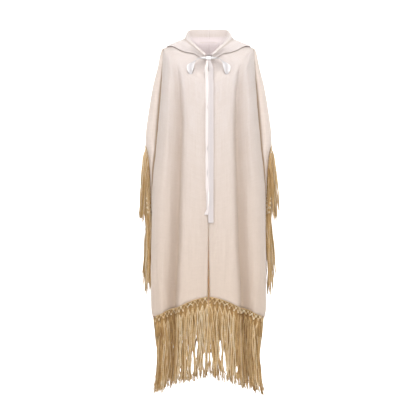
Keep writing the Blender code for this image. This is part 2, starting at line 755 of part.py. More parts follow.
def add_fringes(material):
    """All the fringe rows, each a node of its own."""
    down = Vector((0.0, 0.0, -1.0))
    for word, side in (("left", -1), ("right", 1)):
        row = [Vector((side * point.x, point.y, point.z)) for point in front_row(HEM_STEP)]
        row = row[:roll_column() + 1]
        outward = plan_normal(lambda place: Vector((place.x * 0.6, place.y, 0.0)))
        add_fringe("fringe_hem_front_" + word, hem_path(row, outward), FRINGE_PITCH_HEM, outward,
                   down, hem_locks(HEM_TIP_CENTRE, HEM_SPLAY_FRONT), material)
    row = back_row(HEM_STEP)
    outward = plan_normal(lambda place: Vector((place.x, place.y, 0.0)))
    add_fringe("fringe_hem_back", hem_path(row, outward), FRINGE_PITCH_HEM, outward, down,
               hem_locks(BACK_TIP_CENTRE, HEM_SPLAY_BACK), material)
    start, end = SIDE_FRINGE_STEPS
    for which, edge_rows, steps, toward in (
            ("front", FRONT_EDGE, FRONT_STEPS, 1.0), ("back", BACK_EDGE, BACK_STEPS, -1.0)):
        leave = Vector((0.0, toward, 0.0))
        for word, side in (("left", -1), ("right", 1)):
            path = []
            for step in steps:
                if start <= step <= end:
                    x, y, z = side_point(edge_rows, step, 0.0)
                    path.append(Vector((side * (x - WALL / 2.0), y, z)))
            add_fringe("fringe_side_" + which + "_" + word, path, FRINGE_PITCH_SIDE,
                       lambda place, along, side=side: Vector((side, 0.0, 0.0)),
                       leave, side_locks(leave), material)


def finish(name, colour, roughness):
    """A plain material of one finish."""
    material = bpy.data.materials.new(name)
    material.use_nodes = True
    surface = material.node_tree.nodes["Principled BSDF"]
    surface.inputs["Base Color"].default_value = (*colour, 1.0)
    surface.inputs["Roughness"].default_value = roughness
    surface.inputs["Metallic"].default_value = 0.0
    return material


def main():
    """Build the poncho in an empty scene."""
    for item in list(bpy.data.objects):
        bpy.data.objects.remove(item, do_unlink=True)
    collection = bpy.data.collections.new(PONCHO)
    bpy.context.scene.collection.children.link(collection)
    cloth = finish("ivory_plush_knit", (0.78, 0.68, 0.60), 0.95)
    satin = finish("white_satin", (0.88, 0.86, 0.88), 0.35)
    yarn = finish("golden_fringe_yarn", (0.52, 0.36, 0.18), 0.85)
    add_front("front_left", -1, cloth)
    add_front("front_right", 1, cloth)
    add_back("back", cloth)
    add_hood("hood_left", -1, cloth)
    add_hood("hood_right", 1, cloth)
    add_knot("ribbon_knot", satin)
    add_loop("ribbon_loop_left", -1, satin)
    add_loop("ribbon_loop_right", 1, satin)
    for tail in TAILS:
        add_tail(tail, satin)
    add_fringes(yarn)


main()
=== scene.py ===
"""Looks of a knitted hooded poncho with a satin bow and knotted fringe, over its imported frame.

The front faces -Y and +Z is up. Sizes in the tables are millimetres, which MM turns into metres.
"""

import math
import random
from bisect import bisect_right
from collections import namedtuple
from functools import lru_cache

import bpy
import numpy as np
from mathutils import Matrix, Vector, noise


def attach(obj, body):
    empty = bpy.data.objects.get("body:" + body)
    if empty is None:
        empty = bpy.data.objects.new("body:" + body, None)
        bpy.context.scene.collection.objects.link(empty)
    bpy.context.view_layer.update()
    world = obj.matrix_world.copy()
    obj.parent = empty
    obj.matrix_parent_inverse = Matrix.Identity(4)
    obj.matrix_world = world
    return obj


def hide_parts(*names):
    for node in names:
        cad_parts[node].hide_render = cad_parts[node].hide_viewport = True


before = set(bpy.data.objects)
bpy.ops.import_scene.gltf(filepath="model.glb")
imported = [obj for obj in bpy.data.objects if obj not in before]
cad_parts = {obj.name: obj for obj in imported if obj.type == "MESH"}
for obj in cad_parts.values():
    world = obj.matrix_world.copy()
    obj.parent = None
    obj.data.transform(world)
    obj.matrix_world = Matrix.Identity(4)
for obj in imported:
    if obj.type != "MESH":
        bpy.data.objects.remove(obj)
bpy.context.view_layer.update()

bl_info = {
    "name": "Knitted poncho",
    "version": (1, 0, 0),
    "blender": (4, 5, 0),
    "location": "View3D > Sidebar > Poncho",
    "description": "Cloth, ribbon and fringe of a hooded knitted poncho in its worn shape",
    "category": "Add Mesh",
}

MM = 0.001
TURN = 2.0 * math.pi
DOWN = Vector((0.0, 0.0, -1.0))
BODY = "root"
KNIT_SLOT = "ivory_plush_knit"
SATIN_SLOT = "white_satin"
YARN_SLOT = "golden_fringe_yarn"
SIDES = (("left", -1), ("right", 1))


def table(kind, *rows):
    """Rows of values as records of one kind."""
    return tuple(kind(*row) for row in rows)


# Seams and clearances
SEAM_GAP = 0.3
FRINGE_GAP = 0.9
SEAM_FLAT = 5.0
HOOD_LIFT = 1.6
HOOD_CLEARANCE = 3.0
HOOD_FOLD_RADIUS = 2.5
HOOD_FRONT_END = 4.0
SLIT_HALF_TOP = 0.6
SLIT_HALF_HEM = 4.2
SLIT_OPENS = -640.0
SLIT_CURVE = 2.0
HEM_HEIGHT = -1002.0

# Height steps down the garment, from 0 at the neckline to 16 at the hem. Each side's rows say
# where its edge is, and each centre's rows where the middle of the front or back is.
OPEN_STEP = 10.0
HEM_STEP = 16.0
Side = namedtuple("Side", "step z x y")
SHOULDER = table(
    Side,
    (0, 8, 74, 20), (1, 2, 120, 20), (2, -5, 158, 20), (3, -11, 184.5, 20), (4, -36, 194, 20),
    (5, -82, 203, 20), (6, -153, 221, 20), (7, -218, 233, 20), (8, -290, 244, 20),
    (9, -345, 251, 20), (10, -392, 253, 20),
)
FRONT_EDGE = table(
    Side,
    (10, -392, 253, 20), (10.5, -425, 243, 2), (11, -480, 237, -8), (12, -590, 231, -16),
    (13, -710, 225, -24), (14, -840, 221, -32), (15, -960, 218, -40), (16, -1086, 204, -62),
)
BACK_EDGE = table(
    Side,
    (10, -392, 253, 20), (10.5, -425, 246, 38), (11, -480, 240, 48), (11.5, -535, 237, 53),
    (12, -590, 235, 56), (13, -710, 231, 64), (14, -840, 227, 70), (15, -960, 222, 76),
    (16, -1084, 208, 90),
)
Centre = namedtuple("Centre", "step z y")
FRONT_CENTRE = table(
    Centre,
    (0, -52, -92), (1, -76, -104), (2, -100, -112), (3, -126, -119), (4, -158, -126),
    (5, -200, -132), (6, -255, -138), (7, -310, -142), (8, -368, -145), (9, -420, -147),
    (10, -468, -149), (11, -555, -151), (12, -650, -153), (13, -745, -155), (14, -840, -158),
    (15, -925, -160), (16, -1002, -162),
)
BACK_CENTRE = table(
    Centre,
    (0, 16, 64), (1, -20, 90), (2, -58, 108), (3, -95, 119), (4, -132, 126), (5, -178, 130),
    (6, -236, 133), (7, -296, 135), (8, -355, 137), (9, -410, 139), (10, -458, 140),
    (11, -552, 142), (12, -650, 144), (13, -750, 147), (14, -855, 150), (15, -950, 153),
    (16, -1045, 157),
)

# Folds of the front by height, as its solids have them
FrontFold = namedtuple("FrontFold", "z fold_x fold_depth crest_set roll_x roll_y crease")
FRONT_FOLDS = table(
    FrontFold,
    (-1100, 125, 48, 24, 221, -88, 10),
    (-1050, 126, 47, 24, 230, -88, 16),
    (-920, 121, 44, 23, 231, -87, 22),
    (-840, 117, 42, 22, 230, -86, 24),
    (-728, 113, 40, 21, 228, -84, 25),
    (-584, 109, 37, 20, 226, -80, 26),
    (-400, 104, 34, 18, 209, -74, 27),
    (-308, 102, 31, 16, 201, -68, 26),
    (-216, 106, 24, 14, 195, -58, 23),
    (-124, 113, 12, 12, 187, -42, 17),
    (-60, 118, 4, 10, 182, -26, 10),
    (20, 120, 0, 10, 176, -10, 4),
)
FULL_FOLD = 48.0
BACK_FULL_FOLD = 36.0
BACK_HALF_STATIONS = 14
# Steps from which the unevenness and creases of the cloth set in, below the hood
FRONT_FREE = (1.6, 3.2)
BACK_FREE = (6.6, 8.1)
FOLD_FADE_START = 1.2
FOLD_FADE_END = 4.6
# Painted shade on the front beside the wings, and painted shadow below the lying hood's edge
WING_SHADE = 2.0
WING_NARROW = 0.3
WING_WIDENS = (10.0, 12.0)
WING_SOFT = 0.26
WING_PALES = (12.0, 14.0)
HOOD_SHADE = 0.1
HOOD_SHADE_AT = 5.0
HOOD_SHADE_WIDE = 3.4

# Stations across half the front. Their last column is painted shade: how much less light
# reaches a place.
Station = namedtuple("Station", "name drop turn pieces hollow")
FRONT_STATIONS = table(
    Station,
    ("centre", 0, 0, 1, 0.1),
    ("inner", 0.10, 0.15, 1, 0),
    ("inner_crest", 0.28, 0.31, 1, 0),
    ("fold_shoulder", 0.45, 0.42, 1, 0.06),
    ("fold_edge", 0.49, 0.47, 1, 0.62),
    ("valley", 0.53, 0.51, 1, 1),
    ("valley_rise", 0.59, 0.57, 1, 0.66),
    ("lobe_rise", 0.67, 0.63, 2, 0.3),
    ("lobe_crest", 0.78, 0.71, 2, 0.2),
    ("lobe_fall", 0.90, 0.79, 2, 0.18),
    ("roll", 0.97, 0.85, 1, 0.28),
    ("crease", 0.99, 0.89, 1, 1),
    ("wing_front", 1, 0.93, 2, 0.02),
    ("wing_corner", 1, 0.97, 1, 0),
    ("side_flat", 1, 0.99, 1, 0),
    ("side", 1, 1, 1, 0),
)
STATION_TURNS = [station.turn for station in FRONT_STATIONS]
ROLL_STATION = 10

# Hanging folds of the back: place across, and the heights where each starts and is full
BackFold = namedtuple("BackFold", "across wide deep starts full")
BACK_FOLDS = table(
    BackFold,
    (-0.74, 0.17, 21, -170, -620),
    (-0.36, 0.17, 30, -260, -760),
    (0.02, 0.13, 16, -420, -900),
    (0.40, 0.16, 33, -220, -700),
    (0.77, 0.17, 19, -190, -640),
)
ROUNDNESS = 0.72

# The lying hood by its place round the neck: where it folds back, and its three main lines
Hood = namedtuple(
    "Hood", "place fold_step pouch crease_x crease_y crease_z crest_x crest_y crest_z "
    "edge_x edge_y edge_z")
HOOD_ROWS = table(
    Hood,
    (0.00, 0.15, 0.5, 9, -112, -44, 7.5, -111, -38, 5, -102, -37),
    (0.35, 0.32, 2, 47, -99.5, -12, 41, -96.5, -5, 34, -86.5, -16),
    (0.70, 1.16, 2, 73, -66, 10, 66, -60, 18, 55, -46, 3),
    (1.00, 2.05, 0.5, 95, -6, 28, 84, 0, 48, 66, 2, 25),
    (1.35, 3.00, 6, 97, 56, 29, 80, 56, 61.5, 63, 42, 25),
    (1.70, 5.30, 26, 66, 103, 34, 56, 90, 67, 42, 69, 26),
    (2.00, 6.50, 32, 0, 118, 32, 0, 99, 67.6, 0, 75, 27),
    (2.30, 5.30, 26, -66, 103, 34, -56, 90, 67, -42, 69, 26),
)
HOOD_FIRST_PLACE = 0.05
HOOD_LAST_PLACE = 1.975
HOOD_UNDER_STEPS = 6
HOOD_LIFT_GROWS = 2.0
Upper = namedtuple("Upper", "share pouch")
HOOD_UPPER = table(Upper, (0.36, 1.0), (0.68, 0.8))
# The hood's knit goes on down the inside of the neck, most at the back
Facing = namedtuple("Facing", "inward drop")
FACING = table(Facing, (12, 12), (17, 68))
FACING_LEAST = 0.03
FACING_FROM = 0.75
FACING_FULL = 1.35
HOOD_ROW_COUNT = 72
HOOD_FINENESS = 4
HOOD_COLUMNS = 60
HOOD_PIECES_TO_FOLD = 11
HOOD_BAND_Z = 37.0
# Shares of the hood's section where its edge turns under and where the face roll starts
HOOD_EDGE_SHARE = 45.5
HOOD_CREASE_SHARE = 73.0
HOOD_FREE = ((50.0, 58.0), (96.0, 88.0))
HOOD_ROLL_SHADE = (82.0, 87.0)
NORMAL_SPAN = 0.04
CHEST_MIDDLE = (0.0, 20.0, -150.0)

# Creases of the cloth, each from its top to its bottom: half width, depth (below 0 a ridge)
# and bow sideways. Those of the front are mirrored on both sides, as the garment hangs.
Crease = namedtuple("Crease", "x_top z_top x_bottom z_bottom wide deep bow")
FRONT_CREASES = table(
    Crease,
    (14, -92, 62, -330, 9, 2.6, 6), (26, -100, 88, -260, 8, 1.8, -5),
    (10, -150, 34, -520, 10, 2, 4), (58, -360, 46, -960, 13, 2.4, -8),
    (34, -520, 33, -990, 7, -2, 3), (82, -560, 88, -1010, 9, 2.2, 5),
    (165, -430, 172, -980, 12, 3.2, -7), (190, -560, 200, -1010, 9, 2.2, 6),
    (150, -250, 158, -600, 10, 2, 6), (142, -30, 118, -250, 12, 2.6, 8),
    (168, -40, 150, -230, 10, 2, 5), (188, -90, 196, -330, 9, 1.8, -5),
    (200, -900, 176, -1040, 7, 2, 4), (216, -780, 204, -1060, 6, 2, -4),
    (20, -860, 64, -1000, 9, 1.5, 4), (120, -960, 96, -1020, 7, 1.5, 3),
)
BACK_CREASES = table(
    Crease,
    (-96, -110, -150, -520, 13, 3.4, 9), (-40, -140, -64, -700, 12, 2.8, -8),
    (18, -160, 30, -640, 11, 2.4, 7), (70, -120, 110, -480, 12, 3, -9),
    (140, -90, 176, -440, 12, 3, 8), (-168, -70, -196, -400, 11, 2.6, -6),
    (-128, -560, -122, -1030, 13, 2.6, 8), (-20, -600, -34, -1040, 10, 2.2, -6),
    (52, -660, 66, -1030, 9, 2, 5), (150, -540, 148, -1040, 12, 2.8, -8),
    (194, -500, 188, -1010, 9, 2, 5), (-186, -640, -176, -1020, 8, 2, 4),
)
# Creases of the lying hood, in places along it (times 100) and share of its section (times
# 100), measured in the cloth.
HOOD_CREASES = table(
    Crease,
    (60, 58, 96, 84, 5, 1.6, 2), (112, 54, 128, 86, 5, 2.6, -3), (140, 50, 150, 84, 6, 3, 3),
    (166, 48, 160, 82, 5, 2.6, -2), (184, 50, 188, 84, 5, 2.4, 2),
)
CREASE_FADE = 1.0 / 3.0
CREASE_BESIDE = 0.45
CREASE_BESIDE_AT = 1.7

# Ribbon
TAIL_TOP = -54.9
TAIL_GATHER = 0.48
TAIL_GATHER_HEIGHT = 40.0
TAIL_STANDS_AT_KNOT = 19.0
TAIL_SETTLES_OVER = 90.0
Tail = namedtuple("Tail", "name end_z lift")
TAILS = table(Tail, ("left", -676, 4), ("right", -708, 5.5))
RIBBON_WIDTH = 21.0
# Painted shade that makes the right tail greyer than the left
TAIL_SHADE = 0.56
TAIL_ROWS = 110
TAIL_COLUMNS = 23
TAIL_CUP = 1.5
TAIL_CUP_WAVE = 34.0
TAIL_PLEAT = 1.2
TAIL_PLEATS = 8.0
TAIL_SKEW = 0.05
# Edges of each tail down its length. What is left of the ribbon's width lies folded behind it.
Edges = namedtuple("Edges", "z left right")
TAIL_EDGES = {
    "left": table(
        Edges,
        (-680, -17, -2), (-668, -15, -2), (-652, -8, 0), (-600, -9, 2), (-556, -12, 3),
        (-170, -12.5, 3), (-112, -14, 2.5), (-98, -16, -3), (-54, -16, -3)),
    "right": table(
        Edges, (-710, -1, 19.5), (-110, -1, 19.5), (-98, 0.5, 19.5), (-54, 0.5, 19.5)),
}
# Soft dashes of painted shadow down the left tail, where it turns
Dash = namedtuple("Dash", "z high deep")
TAIL_DASHES = table(Dash, (-244, 9, 0.5), (-410, 11, 0.9), (-508, 16, 0.9), (-620, 50, 0.7))
TAIL_DASH_X = -5.4
# Where a tail turns a little about its length
Turn = namedtuple("Turn", "z high degrees")
TAIL_TURNS = {
    "left": table(Turn, (-244, 30, 26), (-410, 32, 30), (-508, 40, 24), (-612, 34, -16)),
    "right": table(Turn, (-170, 60, -10), (-340, 80, 9), (-590, 70, -12)),
}
THREAD_PITCH = 0.9 * MM
# Colour of the painted shade on the satin
SATIN_PAINTED_SHADE = (0.40, 0.36, 0.37)
KNOT_AT = (0.0, -119.0, -47.0)
KNOT_SIZE = (20.0, 9.0, 14.0)
KNOT_ROUND = 3.0
KNOT_GATHER = 0.5
KNOT_GATHERS = 9.0
# The middle line of a loop of the bow, out from the knot and back to it behind
Loop = namedtuple("Loop", "x y z across upright")
LOOP_ROWS = table(
    Loop,
    (10.6, -124, -47, 0, 4.6),
    (26, -122.5, -46.5, 0.5, 2.2),
    (40, -120, -49.5, 0.5, 0.5),
    (55, -121, -59.5, 1.4, 0.5),
    (71, -124, -74, 15.5, -5),
    (73, -126.5, -94, 12.5, -3.5),
    (71.5, -123, -112, 4.5, 0),
    (73, -119.5, -96, 11, -3.5),
    (70.5, -116.5, -76, 13.5, -4.5),
    (55, -117.5, -59.8, 1.4, 0.5),
    (40, -117.5, -49.5, 0.5, 0.5),
    (26, -116.5, -48, 0.5, 2),
    (10.6, -118.5, -48.5, 0, 3.6),
)
BAND_PLEAT = 2.2
BAND_PLEATS = 7.0
# Painted shade on the band where it runs under the hood's edge, growing over these places across
BAND_SHADE = 0.7
BAND_DARKENS = (22.0, 34.0)
LOOP_CUP = 4.4
LOOP_COLUMNS = 15
# Rows narrower than this are the band, from this row on the loop lies behind,
# and the leaf's painted shade starts and ends over these heights
LEAF_ACROSS = 4.0
LOOP_BEHIND = 7
LEAF_TOP = (-58.0, -78.0)
LEAF_FOOT = (-112.0, -98.0)

# Fringe. A side lock leans out by a chance share of what is read at its height.
Lean = namedtuple("Lean", "z out least")
SIDE_LEANS = table(
    Lean,
    (-740, 14, 0), (-690, 31, 0), (-640, 34, 0), (-600, 18, 0.1), (-560, 4, 0.2), (-470, 1, 0.3),
    (-450, 4, 0.35), (-425, 29, 0.4), (-392, 31, 0.42),
)
SIDE_LOCK_LENGTH = 274.0
SIDE_PITCH = 18.0
SIDE_FRINGE_STEPS = (10.05, 15.7)
SIDE_TURN = -730.0
SIDE_LEAN_IN = 22.0
SIDE_TUCK = 29.0
SIDE_LEAN_BY_BEND = 0.1
# Between these heights the side knots end in full loops
LOOPS_FROM = -585.0
LOOPS_TO = -680.0
LOOPS_FORWARD = 32.0
LOOPS_FADE = 16.0
SIDE_KNOT_OUT = 4.5
SIDE_HANG_FRONT = -12.0
SIDE_HANG_BACK = 52.0
SIDE_LAYER = 4.2
SIDE_STAND = 4.0
SIDE_WIDE = (1.6, 5.6)
SIDE_WAVES = (1.0, 2.2)
SIDE_SHORTER = (0.93, 1.02)
SIDE_SWAY = 1.6
SIDE_OPENS = 0.3
SIDE_THINS = 0.86
KNOT_DROP = 5.6
BEND_DROP = 34.0
HEM_TIP_CENTRE = -1309.0
HEM_TIP_CORNER = -1389.0
HEM_CORNER_X = 209.0
HEM_SPLAY_FRONT = 17.0
HEM_SPLAY_BACK = 22.0
BACK_TIP_CENTRE = -1324.0
# The knotted net above the hanging cords: heights of its two rows of knots below the hem
NET_UPPER = 9.0
NET_LOWER = 22.0
# Each hanging cord: shares of its length by which it has left its lock and from which it
# thins, pales and splays, and the chance ranges of its waves, swing and splay
CORD_OPENS = 0.16
CORD_THINS = 0.84
CORD_PALES = 0.74
CORD_SPLAYS = 0.8
CORD_WAVES = (1.2, 2.6)
CORD_SWING = (0.8, 3.6)
CORD_SPLAY = (-7.5, 7.5)
LOCK_SPREAD = 0.55
# Cords behind stand further back and take darker tones: painted shade between the front cords
BEHIND_OUT = 3.4
BEHIND_SHADED_TONES = (0.06, 0.42)
FRONT_TONES = (0.42, 0.94)
# Places where the hanging cords part and daylight shows between them
Part = namedtuple("Part", "x z_top z_bottom half")
PARTS = table(
    Part,
    (-46, -1160, -1262, 4), (45, -1160, -1262, 4), (-62, -1200, -1322, 3.8),
    (61, -1200, -1322, 3.8), (-17, -1206, -1318, 3), (-1, -1206, -1324, 2.4),
    (10, -1206, -1318, 2.8), (-108, -1276, -1312, 2.2), (108, -1276, -1312, 2.2),
)
PART_REACH = 13.0
PART_OPENS = 1.0 / 3.0
PART_CLOSES = 0.8
# Dark cords behind the net, painted shade in its holes, to each of its knots, and how far
# they reach below it
HIDDEN_CORDS = 5
HIDDEN_REACH = 64.0
STRAND_DRIFT = 6.0
CORNER_INSET = 10.0
CENTRE_LOCKS = 30.0
TIP_PALER = 0.14

# Square soft lights in metres: name, place, aim, size and share of the power
LAMPS = (
    ("soft_key", (0.0, -5.6, 4.4), (0.0, 0.0, -0.4), 1.8, 1.0),
    ("soft_top", (0.0, -1.6, 3.4), (0.0, 0.0, -0.5), 2.2, 0.38),
    ("soft_front", (0.0, -9.0, -0.3), (0.0, 0.0, -0.5), 1.4, 0.12),
    ("soft_side", (-5.6, -4.0, 0.6), (0.0, 0.0, -0.5), 2.6, 0.36),
    ("soft_backdrop", (-5.0, 3.0, 3.0), (-1.0, 12.0, 0.0), 4.0, 1.0),
    ("soft_side", (5.6, -4.0, 0.6), (0.0, 0.0, -0.5), 2.6, 0.36),
    ("soft_backdrop", (5.0, 3.0, 3.0), (1.0, 12.0, 0.0), 4.0, 1.0),
    ("soft_back", (0.0, 5.0, 2.2), (0.0, 0.0, -0.6), 3.0, 0.32),
)


# Shapes

def slopes(keys, values):
    """Slopes that keep a curve through the values from overshooting them."""
    rates = np.diff(values) / np.diff(keys)
    inner = [2.0 / (1.0 / before + 1.0 / after) if before * after > 0.0 else 0.0
             for before, after in zip(rates, rates[1:])]
    return [float(rate) for rate in (rates[0], *inner, rates[-1])]


@lru_cache(maxsize=None)
def curve(rows, column):
    """Keys, values and slopes of one column of a table."""
    keys = [row[0] for row in rows]
    values = [getattr(row, column) for row in rows]
    return keys, values, slopes(keys, values)


def read(rows, column, at):
    """Read a column of a table between its rows, along a smooth curve."""
    keys, values, slope = curve(rows, column)
    at = min(max(at, keys[0]), keys[-1])
    i = min(bisect_right(keys, at) - 1, len(keys) - 2)
    span = keys[i + 1] - keys[i]
    t = (at - keys[i]) / span
    start = (1 + 2 * t) * (1 - t) ** 2 * values[i] + t * (1 - t) ** 2 * span * slope[i]
    end = t * t * (3 - 2 * t) * values[i + 1] + t * t * (t - 1) * span * slope[i + 1]
    return start + end


def over(value, start, end):
    """A smooth step from 0 at start to 1 at end, of a number or an array."""
    share = np.clip((value - start) / (end - start), 0.0, 1.0)
    return share * share * (3.0 - 2.0 * share)


def hump(off, wide):
    """A soft rise to 1 where off is 0."""
    return np.exp(-(off / wide) ** 2)


def mix(a, b, share):
    """The value a share of the way from a to b."""
    return a + (b - a) * share


def grid(rows):
    """Rows of points as one array."""
    return np.array([[tuple(point) for point in row] for row in rows])


def through(points, pieces):
    """A smooth curve through points, each span cut into its own number of pieces."""
    points = [Vector(point) for point in points]
    result = []
    for i in range(len(points) - 1):
        before = points[i - 1] if i else points[i] * 2 - points[i + 1]
        after = points[i + 2] if i + 2 < len(points) else points[i + 1] * 2 - points[i]
        a, b = points[i], points[i + 1]
        span = (b - a).length
        left = (a - before).length
        right = (after - b).length
        start = ((b - a) / span * left + (a - before) / left * span) / (left + span) * span
        end = ((after - b) / right * span + (b - a) / span * right) / (right + span) * span
        for k in range(pieces[i]):
            t = k / pieces[i]
            result.append(
                a * (2 * t ** 3 - 3 * t ** 2 + 1) + start * (t ** 3 - 2 * t ** 2 + t)
                + b * (3 * t ** 2 - 2 * t ** 3) + end * (t ** 3 - t ** 2))
    return result + [points[-1]]


def path_length(path):
    """The length of a path of points."""
    return sum((b - a).length for a, b in zip(path, path[1:]))


def along_path(points, distance):
    """The place and direction at a distance along a path."""
    for a, b in zip(points, points[1:]):
        span = (b - a).length
        if distance <= span:
            return a + (b - a) * (distance / span), (b - a).normalized()
        distance -= span
    return points[-1].copy(), (points[-1] - points[-2]).normalized()


def side_point(edge_rows, step, gap):
    """The side of a panel at a step: shoulder seam above the opening, free edge below."""
    rows = SHOULDER if step <= OPEN_STEP else edge_rows
    return read(rows, "x", step), read(rows, "y", step) + gap, read(rows, "z", step)


def plain_curve(half_x, side_y, centre_y, turn):
    """The unfolded plan curve from the centre (turn 0) to the side (turn 1)."""
    angle = turn * math.pi / 2
    y = side_y + (centre_y - side_y) * max(math.cos(angle), 0.0) ** ROUNDNESS
    return half_x * math.sin(angle), y


def slit_half(z):
    """Half the opening between the two front edges."""
    return mix(SLIT_HALF_TOP, SLIT_HALF_HEM, over(z, SLIT_OPENS, HEM_HEIGHT) ** SLIT_CURVE)


def folded_places(z, centre_y, side_x, side_y):
    """Plan places of the stations on the folded front at a height."""
    fold_x, depth, crest_set, roll_x, roll_y, crease = (
        read(FRONT_FOLDS, column, z) for column in FrontFold._fields[1:])
    crease_y = roll_y + crease
    crest_x = mix(fold_x, roll_x, 0.56)
    crest_y = centre_y + crest_set
    valley_y = centre_y + max(depth, 4.0) + 4.0
    return {
        "centre": (slit_half(z), centre_y + 1.0),
        "inner": (0.34 * fold_x, centre_y - 3.0),
        "inner_crest": (0.68 * fold_x, centre_y - 1.0),
        "fold_shoulder": (0.92 * fold_x, centre_y + 2.0 + 0.14 * depth),
        "fold_edge": (fold_x, centre_y + 3.0 + 0.50 * depth),
        "valley": (fold_x + 7.0, valley_y),
        "valley_rise": (mix(fold_x, crest_x, 0.44), mix(valley_y, crest_y, 0.14)),
        "lobe_rise": (mix(fold_x, crest_x, 0.74), mix(valley_y, crest_y, 0.68)),
        "lobe_crest": (crest_x, crest_y),
        "lobe_fall": (mix(crest_x, roll_x, 0.62), mix(crest_y, roll_y, 0.30)),
        "roll": (roll_x, roll_y),
        "crease": (roll_x - 3.0, crease_y),
        "wing_front": (mix(roll_x, side_x, 0.50), mix(crease_y, side_y, 0.16)),
        "wing_corner": (mix(roll_x, side_x, 0.86), mix(crease_y, side_y, 0.62)),
        "side_flat": (side_x, side_y - SEAM_FLAT),
        "side": (side_x, side_y),
    }


@lru_cache(maxsize=None)
def front_keys(step):
    """Key points of half the front at a step, from the centre edge to the side."""
    side_x, side_y, side_z = side_point(FRONT_EDGE, step, -SEAM_GAP / 2)
    centre_z = read(FRONT_CENTRE, "z", step)
    centre_y = read(FRONT_CENTRE, "y", step)
    fade = over(step, FOLD_FADE_START, FOLD_FADE_END)
    keys = []
    for station in FRONT_STATIONS:
        z = mix(centre_z, side_z, station.drop)
        x, y = plain_curve(side_x, side_y, centre_y, station.turn)
        if station.name == "centre":
            x = slit_half(z)
        if station.name == "side_flat":
            x, y = side_x, side_y - SEAM_FLAT
        folded_x, folded_y = folded_places(z, centre_y, side_x, side_y)[station.name]
        keys.append(Vector((mix(x, folded_x, fade), mix(y, folded_y, fade), z)))
    return keys


def back_point(step, across):
    """A point of the back: across runs from -1 at one side to 1 at the other."""
    side_x, side_y, side_z = side_point(BACK_EDGE, step, SEAM_GAP / 2)
    z = mix(read(BACK_CENTRE, "z", step), side_z, over(abs(across), 0.0, 1.0))
    x, y = plain_curve(side_x, side_y, read(BACK_CENTRE, "y", step), abs(across))
    x = math.copysign(x, across)
    sink = 0.0
    for fold in BACK_FOLDS:
        near = max(1.0 - ((across - fold.across) / fold.wide) ** 2, 0.0)
        sink += fold.deep * over(z, fold.starts, fold.full) * near * near
    return Vector((x, y, z)) + Vector((-x, side_y - y, 0.0)).normalized() * sink


def back_row(step, half_columns):
    """One row of the back, from the viewer's left to the right."""
    row = [back_point(step, k / half_columns) for k in range(1 - half_columns, half_columns)]
    x, y, z = side_point(BACK_EDGE, step, SEAM_GAP / 2)
    left = [Vector((-x, y, z)), Vector((-x, y + SEAM_FLAT, z))]
    return left + row + [Vector((x, y + SEAM_FLAT, z)), Vector((x, y, z))]


def panel_at(place, step, side):
    """A point of the worn garment: place 0 centre front, 1 shoulder, 2 centre back."""
    if place > 1.0:
        return back_point(step, side * (2.0 - place))
    x, y, z = (float(np.interp(place, STATION_TURNS, column)) for column in zip(*front_keys(step)))
    return Vector((side * x, y, z))


@lru_cache(maxsize=None)
def panel_normal(place, step, side):
    """The outward direction of the garment at a point."""
    along = (panel_at(min(place + NORMAL_SPAN, 2.0), step, side)
             - panel_at(max(place - NORMAL_SPAN, 0.0), step, side))
    down = (panel_at(place, step + NORMAL_SPAN, side)
            - panel_at(place, max(step - NORMAL_SPAN, 0.0), side))
    normal = along.cross(down).normalized()
    outward = panel_at(place, step, side) - Vector(CHEST_MIDDLE)
    return normal if normal.dot(outward) > 0.0 else -normal


def hood_section(place, side):
    """The hood cut at a place: out over the garment, back over itself, and the face roll."""
    fold_step = read(HOOD_ROWS, "fold_step", place)
    points = []
    for k in range(HOOD_UNDER_STEPS + 1):
        share = k / HOOD_UNDER_STEPS
        lift = mix(HOOD_LIFT, HOOD_CLEARANCE, min(share * HOOD_LIFT_GROWS, 1.0))
        normal = panel_normal(place, fold_step * share, side)
        points.append(panel_at(place, fold_step * share, side) + normal * lift)
    foot = panel_at(place, fold_step, side)
    normal = panel_normal(place, fold_step, side)
    downward = (panel_at(place, fold_step + 0.1, side) - foot).normalized()
    radius = HOOD_FOLD_RADIUS
    top = foot + normal * (HOOD_CLEARANCE + 2.0 * radius) - downward
    points += [foot + downward * radius + normal * (HOOD_CLEARANCE + radius), top]
    crease, crest, edge = (
        Vector((side * read(HOOD_ROWS, line + "_x", place), read(HOOD_ROWS, line + "_y", place),
                read(HOOD_ROWS, line + "_z", place))) for line in ("crease", "crest", "edge"))
    middle = panel_normal(place, fold_step / 2.0, side) * read(HOOD_ROWS, "pouch", place)
    points += [mix(top, crease, upper.share) + middle * upper.pouch for upper in HOOD_UPPER]
    points += [crease, crest, edge]
    deep = mix(FACING_LEAST, 1.0, over(place, FACING_FROM, FACING_FULL))
    inward = Vector((-edge.x, -edge.y * 0.6, 0.0)).normalized()
    return points + [edge + (inward * facing.inward + DOWN * facing.drop) * deep
                     for facing in FACING]


# Cloth

def new_piece(name, points, faces, layer, places, masks, finishes):
    """A smooth piece from points in millimetres, with its own map and the masks on its points."""
    mesh = bpy.data.meshes.new(name)
    mesh.from_pydata((np.asarray(points) * MM).tolist(), [], faces)
    places = np.asarray(places, np.float32).reshape(-1)
    mesh.uv_layers.new(name=layer).data.foreach_set("uv", places)
    for mask, values in masks.items():
        values = np.asarray(values, np.float32).reshape(-1)
        mesh.attributes.new(mask, "FLOAT", "POINT").data.foreach_set("value", values)
    mesh.polygons.foreach_set("use_smooth", [True] * len(mesh.polygons))
    for material in finishes:
        mesh.materials.append(material)
    piece = bpy.data.objects.new(name, mesh)
    bpy.context.scene.collection.objects.link(piece)
    return piece


